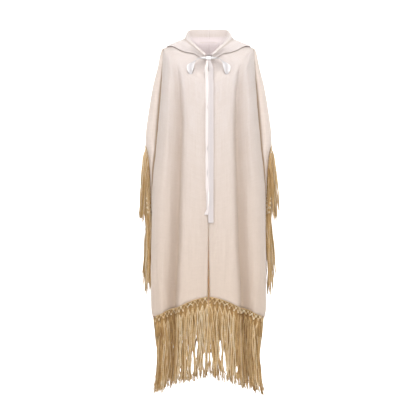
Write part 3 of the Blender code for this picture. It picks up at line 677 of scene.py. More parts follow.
def sheet_piece(name, points, flip, wall, finishes, **masks):
    """A sheet of cloth or ribbon through a grid of points, with its wall and cloth map."""
    rows, columns = points.shape[:2]
    index = np.arange(rows * columns).reshape(rows, columns)
    faces = np.stack([index[:-1, :-1], index[:-1, 1:], index[1:, 1:], index[1:, :-1]], axis=2)
    faces = faces.reshape(-1, 4)[:, ::-1 if flip else 1]
    across = np.linalg.norm(np.diff(points, axis=1), axis=2).mean(axis=0)
    down = np.linalg.norm(np.diff(points, axis=0), axis=2).mean(axis=1)
    u, v = (np.concatenate([[0.0], np.cumsum(spans)]) * MM for spans in (across, down))
    flat = np.stack(np.meshgrid(u, v), axis=2).reshape(-1, 2)
    piece = new_piece(name, points.reshape(-1, 3), faces.tolist(), "cloth",
                      flat[faces.reshape(-1)], masks, finishes)
    solid = piece.modifiers.new("Wall", "SOLIDIFY")
    solid.thickness = wall
    solid.offset = -1.0
    solid.material_offset = len(finishes) - 1
    return piece


def belong(piece, slot, *nodes):
    """Tie a finished piece to the body and hide the solids it stands for; the slot is not used."""
    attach(piece, BODY)
    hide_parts(*nodes)


def creased(first, second, creases):
    """How far a sheet sinks at places (first, second) because of its creases."""
    total = np.zeros(np.broadcast(first, second).shape)
    for crease in creases:
        run_x = crease.x_bottom - crease.x_top
        run_z = crease.z_bottom - crease.z_top
        length = math.hypot(run_x, run_z)
        off_x = first - crease.x_top
        off_z = second - crease.z_top
        share = (off_x * run_x + off_z * run_z) / length ** 2
        beside = (off_x * run_z - off_z * run_x) / length
        beside = beside - crease.bow * 4.0 * share * (1.0 - share)
        strength = over(share, 0.0, CREASE_FADE) * over(share, 1.0, 1.0 - CREASE_FADE)
        ridge = hump(beside - CREASE_BESIDE_AT * crease.wide, crease.wide)
        total += strength * crease.deep * (hump(beside, crease.wide) - CREASE_BESIDE * ridge)
    return total


def uneven(points, size, seed):
    """Soft unevenness from -1 to 1 over a grid of points, of a given size in millimetres."""
    places = (points / size + seed).reshape(-1, 3)
    return np.array([noise.noise(Vector(place)) for place in places]).reshape(points.shape[:2])


def drape(points, sink, free):
    """Move a grid of cloth in by its creases, and unevenly in and out, where it is free."""
    normals = np.cross(np.gradient(points, axis=1), np.gradient(points, axis=0))
    normals /= np.maximum(np.linalg.norm(normals, axis=2, keepdims=True), 1e-9)
    outward = (points - np.array(CHEST_MIDDLE)) * (1.0, 1.0, 0.1)
    if (normals * outward).sum() <= 0.0:
        normals = -normals
    soft = uneven(points, 46.0, 3.0) * 1.3 + uneven(points, 17.0, 9.0) * 0.35
    return points + normals * ((soft - sink) * free)[:, :, None]


def under_hood(points, marks, side):
    """Painted shadow on the front just below the lying hood's edge."""
    dark = np.zeros(points.shape[:2])
    for column in range(points.shape[1]):
        place = float(np.interp(column, marks, STATION_TURNS))
        foot = panel_at(place, read(HOOD_ROWS, "fold_step", place), side)
        away = np.linalg.norm(points[:, column] - np.array(foot), axis=1)
        dark[:, column] = HOOD_SHADE * hump(away - HOOD_SHADE_AT, HOOD_SHADE_WIDE)
    return dark


def front_grid(side, row_count, fineness):
    """Half the front: points, painted shade and painted wing light, and where it is free to move.
    """
    pieces = [station.pieces * fineness for station in FRONT_STATIONS[:-1]]
    marks = np.concatenate([[0], np.cumsum(pieces)])
    at = dict(zip((station.name for station in FRONT_STATIONS), marks))
    columns = np.arange(marks[-1] + 1)
    steps = np.linspace(0.0, HEM_STEP, row_count)[:, None]
    points = grid(through(front_keys(float(step)), pieces) for step in steps[:, 0])
    points[:, :, 0] *= side
    lost = np.interp(columns, marks, [station.hollow for station in FRONT_STATIONS])
    depth = [[read(FRONT_FOLDS, "fold_depth", z) / FULL_FOLD] for z in points[:, at["valley"], 2]]
    # Painted shade in the fold valleys, as deep as the fold
    inner = lost * depth * over(steps, FOLD_FADE_START, FOLD_FADE_START + 3.0)
    # Painted shade of the crease beside the wing: sharp and dark high up, wide and pale at the hem
    past = (columns - at["crease"]) / (at["wing_front"] - at["crease"])
    reach = mix(WING_NARROW, 1.0, over(steps, *WING_WIDENS))
    wing = np.where(past > 0.0, WING_SHADE * (1.0 - over(past, reach, reach + WING_SOFT)), lost)
    wing = wing * over(steps, 1.0, 3.0) * mix(1.0, 0.5, over(steps, *WING_PALES))
    # Painted shade of the folds, the wing crease and the hood's edge, in one mask
    hollow = np.where(columns < at["lobe_fall"], inner, wing) + under_hood(points, marks, side)
    # Painted light: the wings beside the crease are painted lighter and warmer
    warm = over(columns, at["crease"], at["crease"] + fineness) * over(steps, 2.0, 3.5)
    free = over(steps, *FRONT_FREE) * over(columns, at["side_flat"], at["side_flat"] - fineness)
    return points, hollow, warm, free


def hood_grid(side):
    """Half the hood: its points from the front to the back seam, and the places of its rows."""
    places = np.linspace(HOOD_FIRST_PLACE, HOOD_LAST_PLACE, HOOD_ROW_COUNT)
    pieces = [HOOD_FINENESS] * HOOD_PIECES_TO_FOLD + [HOOD_FINENESS * k for k in (2, 2, 1, 2)]
    points = grid(through(hood_section(float(place), side), pieces) for place in places)
    points[0, :, 0] = side * np.maximum(side * points[0, :, 0], HOOD_FRONT_END)
    seam = points[-1:].copy()
    seam[:, :, 0] = side * SEAM_GAP / 2
    return np.concatenate([points, seam]), np.append(places, 2.0)[:, None]


# Fringe

class Yarn:
    """Gathers the cords and knots of one piece into a single mesh, in millimetres."""

    def __init__(self, seed):
        self.chance = random.Random(seed)
        self.points = []
        self.faces = []
        self.turns = []
        self.shades = []

    def cord(self, path, radii, facing, shade, sides=6):
        """A round cord along a path, closed at both ends."""
        path = grid([path])[0]
        count = len(path)
        along = np.gradient(path, axis=0)
        along /= np.linalg.norm(along, axis=1, keepdims=True)
        across = np.cross(along, tuple(facing))
        across /= np.maximum(np.linalg.norm(across, axis=1, keepdims=True), 1e-6)
        k = np.arange(sides)
        angles = (k * 2.0 * math.pi / sides)[None, :, None]
        ring = (across[:, None, :] * np.cos(angles)
                + np.cross(along, across)[:, None, :] * np.sin(angles))
        radii = np.broadcast_to(radii, count)[:, None, None]
        start = len(self.points)
        self.points.extend((path[:, None, :] + ring * radii).reshape(-1, 3).tolist())
        self.shades.extend(np.repeat(np.broadcast_to(shade, count), sides).tolist())
        low = start + np.arange(count - 1)[:, None] * sides + k
        beside = low - k + (k + 1) % sides
        quads = np.stack([low, beside, beside + sides, low + sides], axis=2)
        self.faces.extend(quads.reshape(-1, 4).tolist())
        reach = np.linalg.norm(np.diff(path, axis=0), axis=1)
        reach = np.concatenate([[0.0], np.cumsum(reach)]) * MM
        a, b, v, w = np.broadcast_arrays(k / sides, (k + 1) / sides, reach[:-1, None],
                                         reach[1:, None])
        self.turns.extend(np.stack([a, v, b, v, b, w, a, w], axis=2).reshape(-1).tolist())
        last = start + (count - 1) * sides
        self.faces += [range(start + sides - 1, start - 1, -1), range(last, last + sides)]
        self.turns.extend([0.5, 0.0] * sides + [0.5, reach[-1]] * sides)

    def knot(self, centre, along, length, radius, facing, shade):
        """A small full knot of yarn."""
        ends = [centre + along * (length * share) for share in (-0.5, -0.34, 0.0, 0.34, 0.5)]
        self.cord(ends, np.array((0.35, 0.86, 1.0, 0.86, 0.35)) * radius, facing, shade, sides=8)

    def piece(self, name, material, node):
        """The joined mesh of all that was gathered, in place of a solid."""
        piece = new_piece(name, self.points, self.faces, "turns", self.turns,
                          {"shade": self.shades}, [material])
        belong(piece, YARN_SLOT, node)


def plan_normal(place, along):
    """Outward direction of the garment across an edge, seen from above."""
    normal = Vector((along.y, -along.x, 0.0)).normalized()
    return normal if normal.dot(Vector((place.x * 0.6, place.y, 0.0))) > 0.0 else -normal


def parted(rest_x, z, widen):
    """How far a cord moves sideways at its heights to let daylight through, from its rest."""
    move = 0.0
    for part in PARTS:
        off = rest_x - part.x * widen
        share = (part.z_top - z) / (part.z_top - part.z_bottom)
        strength = over(share, 0.0, PART_OPENS) * over(share, 1.0, PART_CLOSES)
        fade = 1.0 - over(abs(off), 0.0, PART_REACH)
        move = move + math.copysign(part.half + 2.5, off) * strength * fade
    return move


def hem_fringe(yarn, row, tip_centre, corner_splay, widen, inset, sizes):
    """Net, knots and hanging cords along a hem row of points."""
    path = []
    for i, point in enumerate(row):
        along = (row[min(i + 1, len(row) - 1)] - row[max(i - 1, 0)]).normalized()
        path.append(point - plan_normal(point, along) * inset)
    length = path_length(path)
    count = round(length / (sizes.pitch / MM))
    pitch = length / count
    radius = sizes.cord_radius / MM
    start = FRINGE_GAP + radius
    pick = yarn.chance.uniform

    def at(distance, drop):
        """A place below the hem, and the level and outward directions there."""
        place, along = along_path(path, min(max(distance, 0.5), length - 0.5))
        level = Vector((along.x, along.y, 0.0)).normalized()
        return place + DOWN * drop, level, plan_normal(place, along)

    steps = [at(pitch * k / 4, start) for k in range(count * 4 + 1)]
    heading = [place + normal * (0.8 * (k % 2)) for k, (place, along, normal) in enumerate(steps)]
    yarn.cord(heading, radius * 0.95, DOWN, 0.66)
    upper = [at(pitch * (i + 0.5), NET_UPPER + pick(-2.4, 2.4)) for i in range(count)]
    lower = [at(pitch * i, NET_LOWER + pick(-3.2, 3.2)) for i in range(count + 1)]
    for i, (knot, along, normal) in enumerate(upper):
        tone = pick(0.7, 1.0)
        for way in (-1, 1):
            top = at(pitch * (i + 0.5 + way * 0.36), start)[0]
            bulge = mix(top, knot, 0.5) + along * (way * 1.6) + normal * 1.4
            yarn.cord(through([top, bulge, knot], [3, 3]), radius * 0.8, normal, tone)
            foot = lower[i + (way + 1) // 2][0]
            for lay in (-0.9, 1.1):
                bow = mix(knot, foot, 0.5) + normal * (1.2 + lay) + DOWN * lay
                shade = min(tone + pick(-0.15, 0.1), 1.0)
                yarn.cord(through([knot, bow, foot], [3, 3]), radius * 0.74, normal, shade)
        yarn.knot(knot + normal * 0.8, along, pick(6.5, 10.5), pick(2.8, 4.4), normal, tone)
    # Dark cords behind the net, painted shade so that no daylight shows between its knots
    for k in range(count * HIDDEN_CORDS):
        distance = pitch * (k + 0.5) / HIDDEN_CORDS
        top, along, normal = at(distance, start)
        foot = at(distance, NET_LOWER + HIDDEN_REACH)[0] + along * pick(-2.5, 2.5)
        hidden = [place - normal * 3.0 for place in (top, mix(top, foot, 0.5), foot)]
        yarn.cord(hidden, radius * 1.4, normal, pick(0.08, 0.4))
    t = np.linspace(0.0, 1.0, sizes.cord_pieces + 1)
    open_out = over(t, 0.0, CORD_OPENS)
    thinner = mix(1.0, 0.5, over(t, CORD_THINS, 1.0))
    for i, (knot, along, normal) in enumerate(lower):
        share = min(abs(knot.x) / HEM_CORNER_X, 1.0)
        paler = 0.06 - 0.14 * share ** 4 + TIP_PALER * over(t, CORD_PALES, 1.0)
        tone = pick(0.7, 1.0)
        yarn.knot(knot + normal * 0.6, DOWN, pick(7.0, 11.0), pick(3.0, 4.4), normal, tone)
        base = pick(-0.12, 0.12) - 0.1 * over(share, 0.25, 0.55) * over(share, 0.95, 0.85)
        longer = pick(-9.0, 9.0)
        end_lock = i in (0, count)
        centre = abs(knot.x) < CENTRE_LOCKS
        cords = sizes.cords_in_lock // 2 + 1 if end_lock and not centre else sizes.cords_in_lock
        spreads = np.linspace(-LOCK_SPREAD, LOCK_SPREAD, cords) * pitch
        if end_lock:
            spreads = np.linspace(-sizes.end_reach / MM * centre,
                                  pitch * (0.6 if centre else 0.4), cords)
        for j, spread in enumerate(spreads if i < count else -spreads):
            behind = j % 2
            deep = pick(-1.0, 1.6) - BEHIND_OUT * behind
            tip_z = mix(tip_centre, HEM_TIP_CORNER, share) + longer + pick(-7.0, 14.0)
            tone = mix(*(BEHIND_SHADED_TONES if behind else FRONT_TONES), yarn.chance.random())
            waves = pick(*CORD_WAVES)
            phase = pick(0.0, 1.0)
            swing = pick(*CORD_SWING)
            splay = pick(*CORD_SPLAY)
            rest_x = knot.x + along.x * spread + normal.x * deep
            z = mix(knot.z - 2.0, tip_z, t)
            drift = [noise.noise(Vector((rest_x / 26.0, tip_centre, down * 2.2 + knot.y)))
                     for down in t]
            side = (spread * open_out + swing * open_out * np.sin(TURN * (waves * t + phase))
                    + splay * over(t, CORD_SPLAYS, 1.0) + STRAND_DRIFT * over(t, 0.0, 0.4) * drift)
            out = deep * open_out + 0.8 * open_out * np.cos(TURN * (waves * t - phase))
            reach = corner_splay * share * t ** 3 - CORNER_INSET * share ** 6 * over(t, 0.0, 0.15)
            x = (knot.x + along.x * side + normal.x * out + reach * math.copysign(1.0, knot.x)
                 + parted(rest_x, z, widen))
            y = knot.y + along.y * side + normal.y * out
            yarn.cord(np.stack([x, y, z], axis=1), radius * (1.3 if behind else 1.0) * thinner,
                      normal, np.clip(tone + base + paler, 0.0, 1.0))


def side_fringe(yarn, edge_rows, side, leave_y, inset, sizes):
    """Knots, loops and hanging cords along an open side edge."""
    leave = Vector((0.0, leave_y, 0.0))
    normal = Vector((side, 0.0, 0.0))
    hang = SIDE_HANG_FRONT if leave_y > 0.0 else SIDE_HANG_BACK
    radius = sizes.cord_radius / MM
    pick = yarn.chance.uniform
    path = []
    for step in np.linspace(*SIDE_FRINGE_STEPS, 24):
        x, y, z = side_point(edge_rows, float(step), 0.0)
        path.append(Vector((side * (x - inset), y, z)))
    length = path_length(path)
    count = int(length / SIDE_PITCH)
    roots = [along_path(path, length * (i + 0.2) / count)[0] for i in range(count)]
    yarn.cord([point + leave * (FRINGE_GAP + radius) for point in path], radius, normal, 0.9)
    for index, root in enumerate(roots):
        layer = SIDE_LAYER if index % 2 else -SIDE_LAYER
        first = root + leave * SIDE_KNOT_OUT
        foot = first + leave * KNOT_DROP
        if first.z < SIDE_TURN:
            lean = leave * SIDE_LEAN_IN - normal * SIDE_TUCK
            foot = foot + leave * SIDE_STAND + normal * layer
        else:
            share = pick(read(SIDE_LEANS, "least", first.z), 1.0)
            lean = normal * read(SIDE_LEANS, "out", first.z) * share
            foot = Vector((foot.x, hang + layer, foot.z)) + normal * SIDE_STAND
        knot = first + (leave + DOWN) * KNOT_DROP
        bend = foot + DOWN * BEND_DROP + lean * SIDE_LEAN_BY_BEND
        tip = foot + DOWN * SIDE_LOCK_LENGTH + lean
        tone = pick(0.75, 1.0)
        yarn.knot(knot + normal * 0.8, (DOWN + leave * 0.6).normalized(), 10.0, 3.7, normal, tone)
        if index:
            above = roots[index - 1] + leave * (SIDE_KNOT_OUT + KNOT_DROP) + DOWN * KNOT_DROP
            swell = (over(root.z, LOOPS_FROM, LOOPS_FROM - LOOPS_FADE)
                     * over(root.z, LOOPS_TO, LOOPS_TO + LOOPS_FADE))
            for lay, out in ((2.6, mix(3.2, 20.0, swell)), (9.0, mix(1.2, 13.0, swell))):
                bow = mix(above, knot, 0.55) + leave * (lay - LOOPS_FORWARD * swell) + normal * out
                yarn.cord(through([above, bow, knot], [5, 5]), radius * mix(0.95, 1.9, swell),
                          normal, tone - 0.08 + 0.3 * swell)
        for way in (-0.8, 0.8):
            edge = root + leave * (FRINGE_GAP + radius) + DOWN * (way * 9.0 - 2.0)
            bow = mix(edge, knot, 0.5) + normal * 1.8
            yarn.cord(through([edge, bow, knot], [3, 3]), radius * 0.8, normal, tone)
        middle = grid([through([knot, bend, tip], [4, sizes.cord_pieces - 4])])[0]
        t = np.linspace(0.0, 1.0, len(middle))[:, None]
        for j in range(sizes.side_cords):
            angle = TURN * (j + pick(0.0, 0.6)) / sizes.side_cords
            wide = pick(*SIDE_WIDE)
            waves = pick(*SIDE_WAVES)
            phase = pick(0.0, 1.0)
            shorter = pick(*SIDE_SHORTER)
            shade = pick(0.3, 1.0)
            sway = SIDE_SWAY * np.sin(TURN * (waves * t + phase))
            off = (np.array(normal) * (math.cos(angle) * wide + sway)
                   + np.array(leave) * (math.sin(angle) * wide * 1.25))
            cord = middle + off * over(t, 0.0, SIDE_OPENS)
            cord[:, 2] = mix(knot.z, cord[:, 2], shorter)
            yarn.cord(cord, radius * mix(1.0, 0.55, over(t[:, 0], SIDE_THINS, 1.0)), normal, shade)


# Finishes

class Value:
    """A shader socket that arithmetic can be written on."""

    def __init__(self, paint, socket):
        self.paint = paint
        self.socket = socket

    def math(self, operation, *others):
        """A Math node on this value and others."""
        return self.paint.math(operation, self, *others)

    def __add__(self, other):
        return self.math("ADD", other)

    def __mul__(self, other):
        return self.math("MULTIPLY", other)

    def __sub__(self, other):
        return self.math("SUBTRACT", other)

    def __rsub__(self, other):
        return self.paint.math("SUBTRACT", other, self)

    __radd__ = __add__
    __rmul__ = __mul__


class Paint:
    """A material that is being made."""

    def __init__(self, name, roughness, **constants):
        self.material = bpy.data.materials.new(name)
        self.material.use_nodes = True
        self.tree = self.material.node_tree
        self.surface = self.tree.nodes["Principled BSDF"]
        self.surface.inputs["Roughness"].default_value = roughness
        for socket, value in constants.items():
            self.surface.inputs[socket.replace("_", " ")].default_value = value

    def node(self, kind, settings=None, sockets=None, out=0):
        """Any node: its settings come first, then the values or links of its sockets."""
        node = self.tree.nodes.new(kind)
        for key, value in (settings or {}).items():
            if key == "stops":
                while len(node.color_ramp.elements) < len(value):
                    node.color_ramp.elements.new(1.0)
                for element, (position, colour) in zip(node.color_ramp.elements, value):
                    element.position = position
                    element.color = (*colour, 1.0)
            else:
                setattr(node, key, value)
        for key, value in (sockets or {}).items():
            self.join(node.inputs[key], value)
        return Value(self, node.outputs[out])

    def join(self, socket, value):
        """Link a value to a socket, or set it."""
        if isinstance(value, Value):
            self.tree.links.new(value.socket, socket)
        else:
            socket.default_value = value

    def math(self, operation, *values):
        """A Math node on values."""
        return self.node("ShaderNodeMath", {"operation": operation}, dict(enumerate(values)))

    def wave(self, value, period):
        """A wave from -1 to 1 that repeats in each period."""
        return (value * (TURN / period)).math("SINE")

    def blend(self, share, a, b):
        """One colour turned into another by a share."""
        a, b = (value if isinstance(value, Value) else (*value, 1.0) for value in (a, b))
        return self.node("ShaderNodeMix", {"data_type": "RGBA"}, {0: share, 6: a, 7: b}, 2)

    def raised(self, height, distance, strength):
        """Let a height in the pattern stand up from the surface."""
        sockets = {"Strength": strength, "Distance": distance, "Height": height}
        self.join(self.surface.inputs["Normal"], self.node("ShaderNodeBump", {}, sockets))

    def attribute(self, name):
        """A value kept on the piece's points."""
        return self.node("ShaderNodeAttribute", {"attribute_name": name}, {}, 2)

    def axes(self, place):
        """The three numbers of a place."""
        split = self.node("ShaderNodeSeparateXYZ", {}, {0: place}).socket.node
        return [Value(self, socket) for socket in split.outputs]

    def mottle(self, place, scale, detail=2.0):
        """Cloudy unevenness from 0 to 1 at places."""
        sockets = {"Vector": place, "Scale": scale, "Detail": detail}
        return self.node("ShaderNodeTexNoise", {}, sockets)

    def stretched(self, place, scale):
        """Places scaled differently along each axis."""
        return self.node("ShaderNodeMapping", {}, {"Vector": place, "Scale": scale})

    def past(self, value, start, end):
        """How far a value has come from start to end, from 0 to 1."""
        sockets = {"Value": value, "From Min": start, "From Max": end}
        return self.node("ShaderNodeMapRange", {"clamp": True}, sockets)

    def object_place(self):
        """Object coordinates, in metres."""
        return self.node("ShaderNodeTexCoord", {}, {}, 3)

    def done(self, colour):
        """The finished material, with its colour."""
        self.join(self.surface.inputs["Base Color"], colour)
        return self.material


def darker(colour, share):
    """A colour with only a share of its light."""
    return [value * share for value in colour]


def knit_paint(name, sizes, high, low, fine):
    """Plush knit: rows of stitches under a soft uneven nap, with painted light and shade in its
    colour. fine makes its plain inner side, which lets some light through."""
    paint = Paint(name, 0.95, Sheen_Weight=0.25, Sheen_Roughness=0.5,
                  Sheen_Tint=(1.0, 0.95, 0.91, 1.0), Specular_IOR_Level=0.15,
                  Subsurface_Weight=0.65 if fine else 0.0, Subsurface_Radius=(1.0, 0.75, 0.6),
                  Subsurface_Scale=0.008)
    uv = paint.node("ShaderNodeUVMap", {"uv_map": "cloth"})
    u, v = paint.axes(uv)[:2]
    gauge = 0.62 if fine else 1.0
    ribs = paint.wave(u, sizes.stitch_width * gauge)
    lean = ribs.math("ABSOLUTE") * 0.35
    rows = paint.wave(v * (1.0 / (sizes.stitch_height * gauge)) + lean, 1.0)
    stitches = ribs * 0.5 + rows * 0.5
    nap = paint.mottle(uv, 420.0, 3.0)
    tufts = paint.mottle(uv, 95.0)
    paint.raised(stitches * 0.25 + nap * 1.1 + tufts * 1.6, 0.0011, 0.75)
    height = paint.axes(paint.object_place())[2]
    # Painted shade: the cream darkens and warms from the neck down to the hem
    colour = paint.blend(paint.past(height, -0.08, -1.02), high, low)
    # Painted light: lighter, warmer cream on the wings, which face away from the lamps
    colour = paint.blend(paint.attribute("warm"), colour, tuple(sizes.wing))
    upright = paint.stretched(uv, (1.0, 0.05, 1.0))
    level = paint.stretched(uv, (0.06, 1.0, 1.0))
    bars = paint.mottle(upright, 150.0) * 0.6 + paint.mottle(level, 190.0) * 0.4
    for share, light in ((paint.mottle(uv, 22.0) * 0.3, 0.9), ((bars - 0.35) * 0.9, 0.84),
                         (tufts * 0.22 + stitches * 0.05, 0.74)):
        colour = paint.blend(share, colour, darker(low, light))
    # Painted shade in folds, creases and under the hood's edge
    colour = paint.blend(paint.attribute("hollow") * sizes.painted_shade_strength, colour,
                         tuple(sizes.hollow))
    # Painted light on the neck facing: lighter low down, where it faces down and gets less light
    facing = paint.blend(paint.past(height, -0.012, 0.034), tuple(sizes.inside),
                         darker(sizes.inside, 0.82))
    streaks = paint.mottle(upright, 260.0)
    facing = paint.blend(streaks * 0.35, facing, darker(sizes.inside, 0.72))
    return paint.done(paint.blend(paint.attribute("inner_side"), colour, facing))


def satin_paint(name, colour):
    """White satin: close threads along the ribbon and a soft shine."""
    paint = Paint(name, 0.38, Sheen_Weight=0.15, Specular_IOR_Level=0.5)
    uv = paint.node("ShaderNodeUVMap", {"uv_map": "cloth"})
    threads = paint.wave(paint.axes(uv)[1], THREAD_PITCH)
    weave = paint.mottle(uv, 160.0)
    paint.raised(threads * 0.2 + weave * 1.2, 0.0004, 0.5)
    paint.join(paint.surface.inputs["Roughness"], weave * 0.16 + 0.32)
    colour = paint.blend(weave * 0.35, tuple(colour), darker(colour, 0.86))
    # Painted shade: greyer where the piece's mask says, in the leaves, the band and the tails
    return paint.done(paint.blend(paint.attribute("hollow") * 0.75, colour, SATIN_PAINTED_SHADE))


def yarn_paint(name, sizes):
    """Twisted yarn: dark and light strands, and plies that wind round each cord."""
    paint = Paint(name, 0.85, Sheen_Weight=0.15, Sheen_Roughness=0.45, Specular_IOR_Level=0.15)
    u, v = paint.axes(paint.node("ShaderNodeUVMap", {"uv_map": "turns"}))[:2]
    plies = paint.wave(u * 2.0 + v * (1.0 / sizes.ply_pitch), 1.0)
    place = paint.object_place()
    paint.raised(plies * 0.5 + paint.mottle(place, 520.0, 3.0) * 0.9, 0.0008, 0.8)
    shade = paint.attribute("shade") + (paint.mottle(place, 60.0) - 0.5) * 0.3
    stops = list(zip((0.0, 0.36, 0.68, 1.0), (sizes.dark, sizes.golden, sizes.pale, sizes.cream)))
    colour = paint.node("ShaderNodeValToRGB", {"stops": stops}, {"Fac": shade})
    # Painted shade in the grooves between the plies
    return paint.done(paint.blend((0.5 - plies * 0.5) * 0.3, colour, darker(sizes.golden, 0.55)))


def floor_paint(name, colour):
    """Pale plain studio floor, faintly uneven."""
    paint = Paint(name, 0.8, Specular_IOR_Level=0.2)
    cloudy = paint.mottle(paint.object_place(), 0.8)
    return paint.done(paint.blend(cloudy * 0.04, tuple(colour), darker(colour, 0.94)))


def finish(name, make, *details):
    """A finish by name, made once."""
    return bpy.data.materials.get(name) or make(name, *details)


def knit_sides(sizes, name="plush_knit_outside", high=None):
    """The plush outer side of the cloth and its plain inner side."""
    return [finish(name, knit_paint, sizes, tuple(high or sizes.high), tuple(sizes.low), False),
            finish("fine_knit_inside", knit_paint, sizes, tuple(sizes.inside),
                   tuple(sizes.inside_low), True)]


# Settings

def number(name, description, default, **limits):
    """A number that a user may change."""
    return bpy.props.FloatProperty(name=name, description=description, default=default, **limits)


def length(name, description, default):
    """A size that a user may change."""
    return number(name, description, default, min=0.0, unit="LENGTH", subtype="DISTANCE",
                  precision=4)


def whole(name, description, default):
    """A whole number that a user may change."""
    return bpy.props.IntProperty(name=name, description=description, default=default, min=1)


def tint(name, description, default):
    """A colour that a user may change."""
    return bpy.props.FloatVectorProperty(name=name, description=description, default=default,
                                         subtype="COLOR", min=0.0, max=1.0)


class PonchoKnitSettings(bpy.types.PropertyGroup):
    """Sizes and colours of the knitted cloth"""
    wall: length("Cloth thickness", "Thickness of the plush knit", 0.0024)
    stitch_width: length("Stitch width", "Width of one column of stitches", 0.0046)
    stitch_height: length("Stitch height", "Height of one row of stitches", 0.0038)
    rows: whole("Rows", "Mesh rows down the cloth", 150)
    fineness: whole("Fineness", "Mesh columns in each station", 5)
    # The cream darkens and warms from the top down to the hem: painted shade
    high: tint("Colour at the top", "Cream of the upper cloth", (0.728, 0.668, 0.655))
    # Painted light: the wings are lighter, as they face sideways away from the lamps
    wing: tint("Colour of the wings", "Warm cream beside the rolled front", (0.87, 0.765, 0.70))
    # Painted light: the lying hood is lighter than the same cloth, as it faces up
    hood: tint("Colour of the hood", "Lighter cream of the lying hood", (0.84, 0.78, 0.775))
    low: tint("Colour at the hem", "Warmer cream of the lower cloth", (0.705, 0.58, 0.487))
    # Painted shade in folds and creases: its colour and its strength
    hollow: tint("Colour in folds", "Tone deep in the folds", (0.36, 0.26, 0.18))
    painted_shade_strength: number("Fold tone", "Strength of the fold tone", 0.6, min=0.0, max=1.0)
    inside: tint("Colour inside", "Pinkish tone of the inner side", (0.93, 0.82, 0.815))
    # Painted shade: the inner side turns warmer and darker low down
    inside_low: tint("Colour inside, low", "Warm tone low on the inner side", (0.92, 0.76, 0.62))


class PonchoRibbonSettings(bpy.types.PropertyGroup):
    """Sizes and colour of the satin ribbon"""
    wall: length("Ribbon thickness", "Thickness of the doubled satin", 0.001)
    colour: tint("Ribbon colour", "White satin of the tails", (0.93, 0.845, 0.815))
    # Painted light: the bow's satin is a lighter copy of the tails' satin
    bow_painted_light_colour: tint("Bow colour", "White satin of the bow", (0.95, 0.93, 0.93))


class PonchoFringeSettings(bpy.types.PropertyGroup):
    """Sizes and colours of the fringe"""
    pitch: length("Knot spacing", "Distance between knots along the hem", 0.021)
    cord_radius: length("Cord radius", "Half the thickness of one cord", 0.00155)
    ply_pitch: length("Twist length", "Length of one turn of the plies", 0.007)
    cords_in_lock: whole("Cords", "Cords in each lock", 10)
    side_cords: whole("Side cords", "Cords in each side lock", 7)
    cord_pieces: whole("Pieces", "Mesh pieces down a cord", 20)
    end_reach: length("End reach", "How far the last lock reaches past the centre", 0.0075)
    dark: tint("Dark yarn", "Darkest strands", (0.26, 0.135, 0.045))
    golden: tint("Golden yarn", "Golden brown strands", (0.53, 0.325, 0.135))
    pale: tint("Pale yarn", "Light strands", (0.70, 0.48, 0.24))
    cream: tint("Cream yarn", "Strands of the net and knots", (0.86, 0.72, 0.50))


class PonchoStageSettings(bpy.types.PropertyGroup):
    """Floor, lights and camera"""
    distance: length("Camera distance", "From the camera to the garment", 8.5)
    width: length("Width in view", "Width that the image shows at the garment", 1.664)
    aim_x: number("Aim across", "Middle of the image across", -0.0024, unit="LENGTH")
    aim_z: number("Aim height", "Middle of the image in height", -0.648, unit="LENGTH")
    floor_z: number("Floor height", "Height of the floor", -1.52, unit="LENGTH")
    floor: tint("Floor colour", "Pale floor and backdrop", (0.94, 0.94, 0.94))
    key: number("Key light", "Power of the front light", 200.0, unit="POWER")
    backdrop: number("Backdrop light", "Power on the backdrop", 640.0, unit="POWER")
    fill: number("Fill light", "Strength of the light all round", 0.35)


# Operators

class PONCHO_OT_fronts(bpy.types.Operator):
    """Make both halves of the folded front"""
    bl_idname = "poncho.fronts"
    bl_label = "Fronts"

    def execute(self, context):
        sizes = context.scene.poncho_knit
        for word, side in SIDES:
            points, hollow, warm, free = front_grid(side, sizes.rows, sizes.fineness)
            sink = creased(np.abs(points[:, :, 0]), points[:, :, 2], FRONT_CREASES)
            piece = sheet_piece("knit_front_" + word, drape(points, sink, free), side > 0,
                                sizes.wall, knit_sides(sizes), hollow=hollow, warm=warm)
            belong(piece, KNIT_SLOT, "front_" + word)
        return {"FINISHED"}


class PONCHO_OT_back(bpy.types.Operator):
    """Make the back with its hanging folds"""
    bl_idname = "poncho.back"
    bl_label = "Back"

    def execute(self, context):
        sizes = context.scene.poncho_knit
        steps = np.linspace(0.0, HEM_STEP, sizes.rows)
        points = grid(back_row(float(step), sizes.fineness * BACK_HALF_STATIONS) for step in steps)
        across = np.linspace(-1.0, 1.0, points.shape[1])
        # Painted shade deep in the hanging folds of the back
        hollow = np.zeros(points.shape[:2])
        for fold in BACK_FOLDS:
            near = np.clip(1.0 - ((across - fold.across) / (0.8 * fold.wide)) ** 2, 0.0, 1.0)
            grown = over(points[:, :, 2], fold.starts, fold.full)
            hollow += near ** 2 * grown * fold.deep / BACK_FULL_FOLD
        free = over(steps, *BACK_FREE)[:, None] * over(np.abs(across), 1.0, 0.95)
        points = drape(points, creased(points[:, :, 0], points[:, :, 2], BACK_CREASES), free)
        piece = sheet_piece("knit_back", points, False, sizes.wall, knit_sides(sizes),
                            hollow=hollow)
        belong(piece, KNIT_SLOT, "back")
        return {"FINISHED"}


